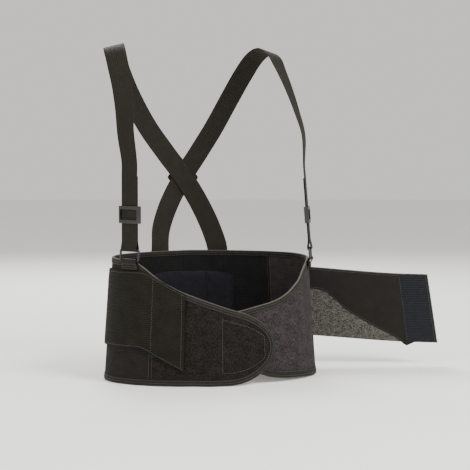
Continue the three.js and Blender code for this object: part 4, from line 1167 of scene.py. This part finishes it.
for side in ("left", "right"):
    f = brace_frame(side)

    def ring_lay(u, v, f=f):
        place, way = ring_path(u)
        turn = 2 * math.pi * v
        squarer = (abs(math.cos(turn)) ** 4 + abs(math.sin(turn)) ** 4) ** -0.25
        flat = place + way * (RING_BAR / 2 * math.cos(turn) * squarer)
        return f["middle"] + (f["across"] * flat.x + f["up"] * flat.y + f["out"] * (RING_DEPTH / 2 * math.sin(turn) * squarer)) * MM
    mesh = bmesh.new()
    bmesh.ops.create_grid(mesh, x_segments=80, y_segments=24, size=0.5)
    for vertex in mesh.verts:
        vertex.co = ring_lay(vertex.co.x + 0.5, vertex.co.y + 0.5)
    bmesh.ops.remove_doubles(mesh, verts=mesh.verts, dist=1e-6)
    ring = finished(f"brace_ring_{side}", mesh, [moulded], 60)
    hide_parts(f"strap_ring_{side}")
    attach(ring, "belt")

    mesh = bmesh.new()
    mesh.from_mesh(frame["nodes"][f"slider_{side}"].data)
    bmesh.ops.remove_doubles(mesh, verts=mesh.verts, dist=1e-6)
    bmesh.ops.dissolve_limit(mesh, angle_limit=math.radians(1), verts=mesh.verts, edges=mesh.edges)
    bmesh.ops.bevel(mesh, geom=mesh.edges[:], offset=0.55 * MM, segments=3, profile=0.5, affect="EDGES", material=-1,
                    clamp_overlap=True)
    slider = finished(f"brace_slider_{side}", mesh, [moulded], 40)
    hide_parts(f"slider_{side}")
    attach(slider, f"slider_{side}_body")

# ---- Patches on the braces
# A square of webbing is sewn over the crossing of the braces with a cross of stitches, and a long one
# covers their ends on the back panel, dipping between them.
CROSS_SIZE, CROSS_Z, CROSS_Y, PATCH_WEBBING = 46.0, 356.0, 158.9, 1.4


def cross_point(a, b, off):
    """A point of the square patch, which stands on one corner."""
    turned = math.sqrt(0.5)
    return Vector(((a - b) * turned, CROSS_Y + off, CROSS_Z + (a + b) * turned)) * MM


def cross_cut(u, v):
    x, y = 2 * u - 1, 2 * v - 1
    longest = max(abs(x), abs(y), 1e-6)
    rounder = longest / (abs(x) ** 9 + abs(y) ** 9) ** (1 / 9) if longest > 1e-5 else 1.0
    return x * rounder * CROSS_SIZE / 2, y * rounder * CROSS_SIZE / 2


def cross_lay(a, b, side):
    from_edge = CROSS_SIZE / 2 - max(abs(a), abs(b))
    thin = 0.5 + 0.5 * math.sqrt(min(1.0, max(0.0, from_edge / 1.5)))
    return cross_point(a, b, PATCH_WEBBING / 2 + side * thin * PATCH_WEBBING / 2)


cross_patch = sewn("brace_cross_patch", 40, 40, cross_cut, cross_lay, brace_webbing)
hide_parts("cross_patch")
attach(cross_patch, "belt")
inset = CROSS_SIZE / 2 - 3.2
corners = [(-inset, -inset), (inset, -inset), (inset, inset), (-inset, inset), (-inset, -inset)]
lines = [*zip(corners, corners[1:]), (corners[0], corners[2]), (corners[1], corners[3])]
rows = [[(cross_point(lerp(a[0], b[0], i / 20), lerp(a[1], b[1], i / 20), PATCH_WEBBING + 0.05), Vector((0, 1, 0))) for i in range(21)]
        for a, b in lines]
stitching("brace_cross_patch_stitches", rows, "belt")

END_HALF = BACK_END_FROM_CENTRE + STRAP_WIDTH / 2 + 4
END_LOW, END_HIGH = BACK_END_Z - 2, BACK_HEIGHT


def end_off(s):
    """The middle of the long patch: out over each strap, and in where there is none."""
    beside = abs(abs(s - GIRTH / 2) - BACK_END_FROM_CENTRE)
    return lerp(3.75, 5.2, 1 - ease(STRAP_WIDTH / 2 + 0.6, STRAP_WIDTH / 2 + 4.4, beside))


def end_cut(u, v):
    return GIRTH / 2 + lerp(-END_HALF, END_HALF, u), lerp(END_LOW, END_HIGH, v)


def end_lay(s, z, side):
    from_edge = min(z - END_LOW, END_HIGH - z, END_HALF - abs(s - GIRTH / 2))
    thin = 0.5 + 0.5 * math.sqrt(min(1.0, max(0.0, from_edge / 1.5)))
    return on_belt(s, z, end_off(s) + side * thin * PATCH_WEBBING / 2)


end_patch = sewn("brace_end_patch", 110, 16, end_cut, end_lay, brace_webbing)
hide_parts("strap_end_patch")
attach(end_patch, "belt")
rows = []
for z in (END_LOW + 3, END_HIGH - 3):
    rows.append([(on_belt(s, z, end_off(s) + PATCH_WEBBING / 2 + 0.05), outward(s))
                 for s in (GIRTH / 2 + lerp(3 - END_HALF, END_HALF - 3, i / 90) for i in range(91))])
for beside in (-END_HALF + 3, -BACK_END_FROM_CENTRE + 22.5, BACK_END_FROM_CENTRE - 22.5, END_HALF - 3):
    s = GIRTH / 2 + beside
    rows.append([(on_belt(s, lerp(END_LOW + 3, END_HIGH - 3, i / 8), end_off(s) + PATCH_WEBBING / 2 + 0.05), outward(s)) for i in range(9)])
stitching("brace_end_patch_stitches", rows, "belt")
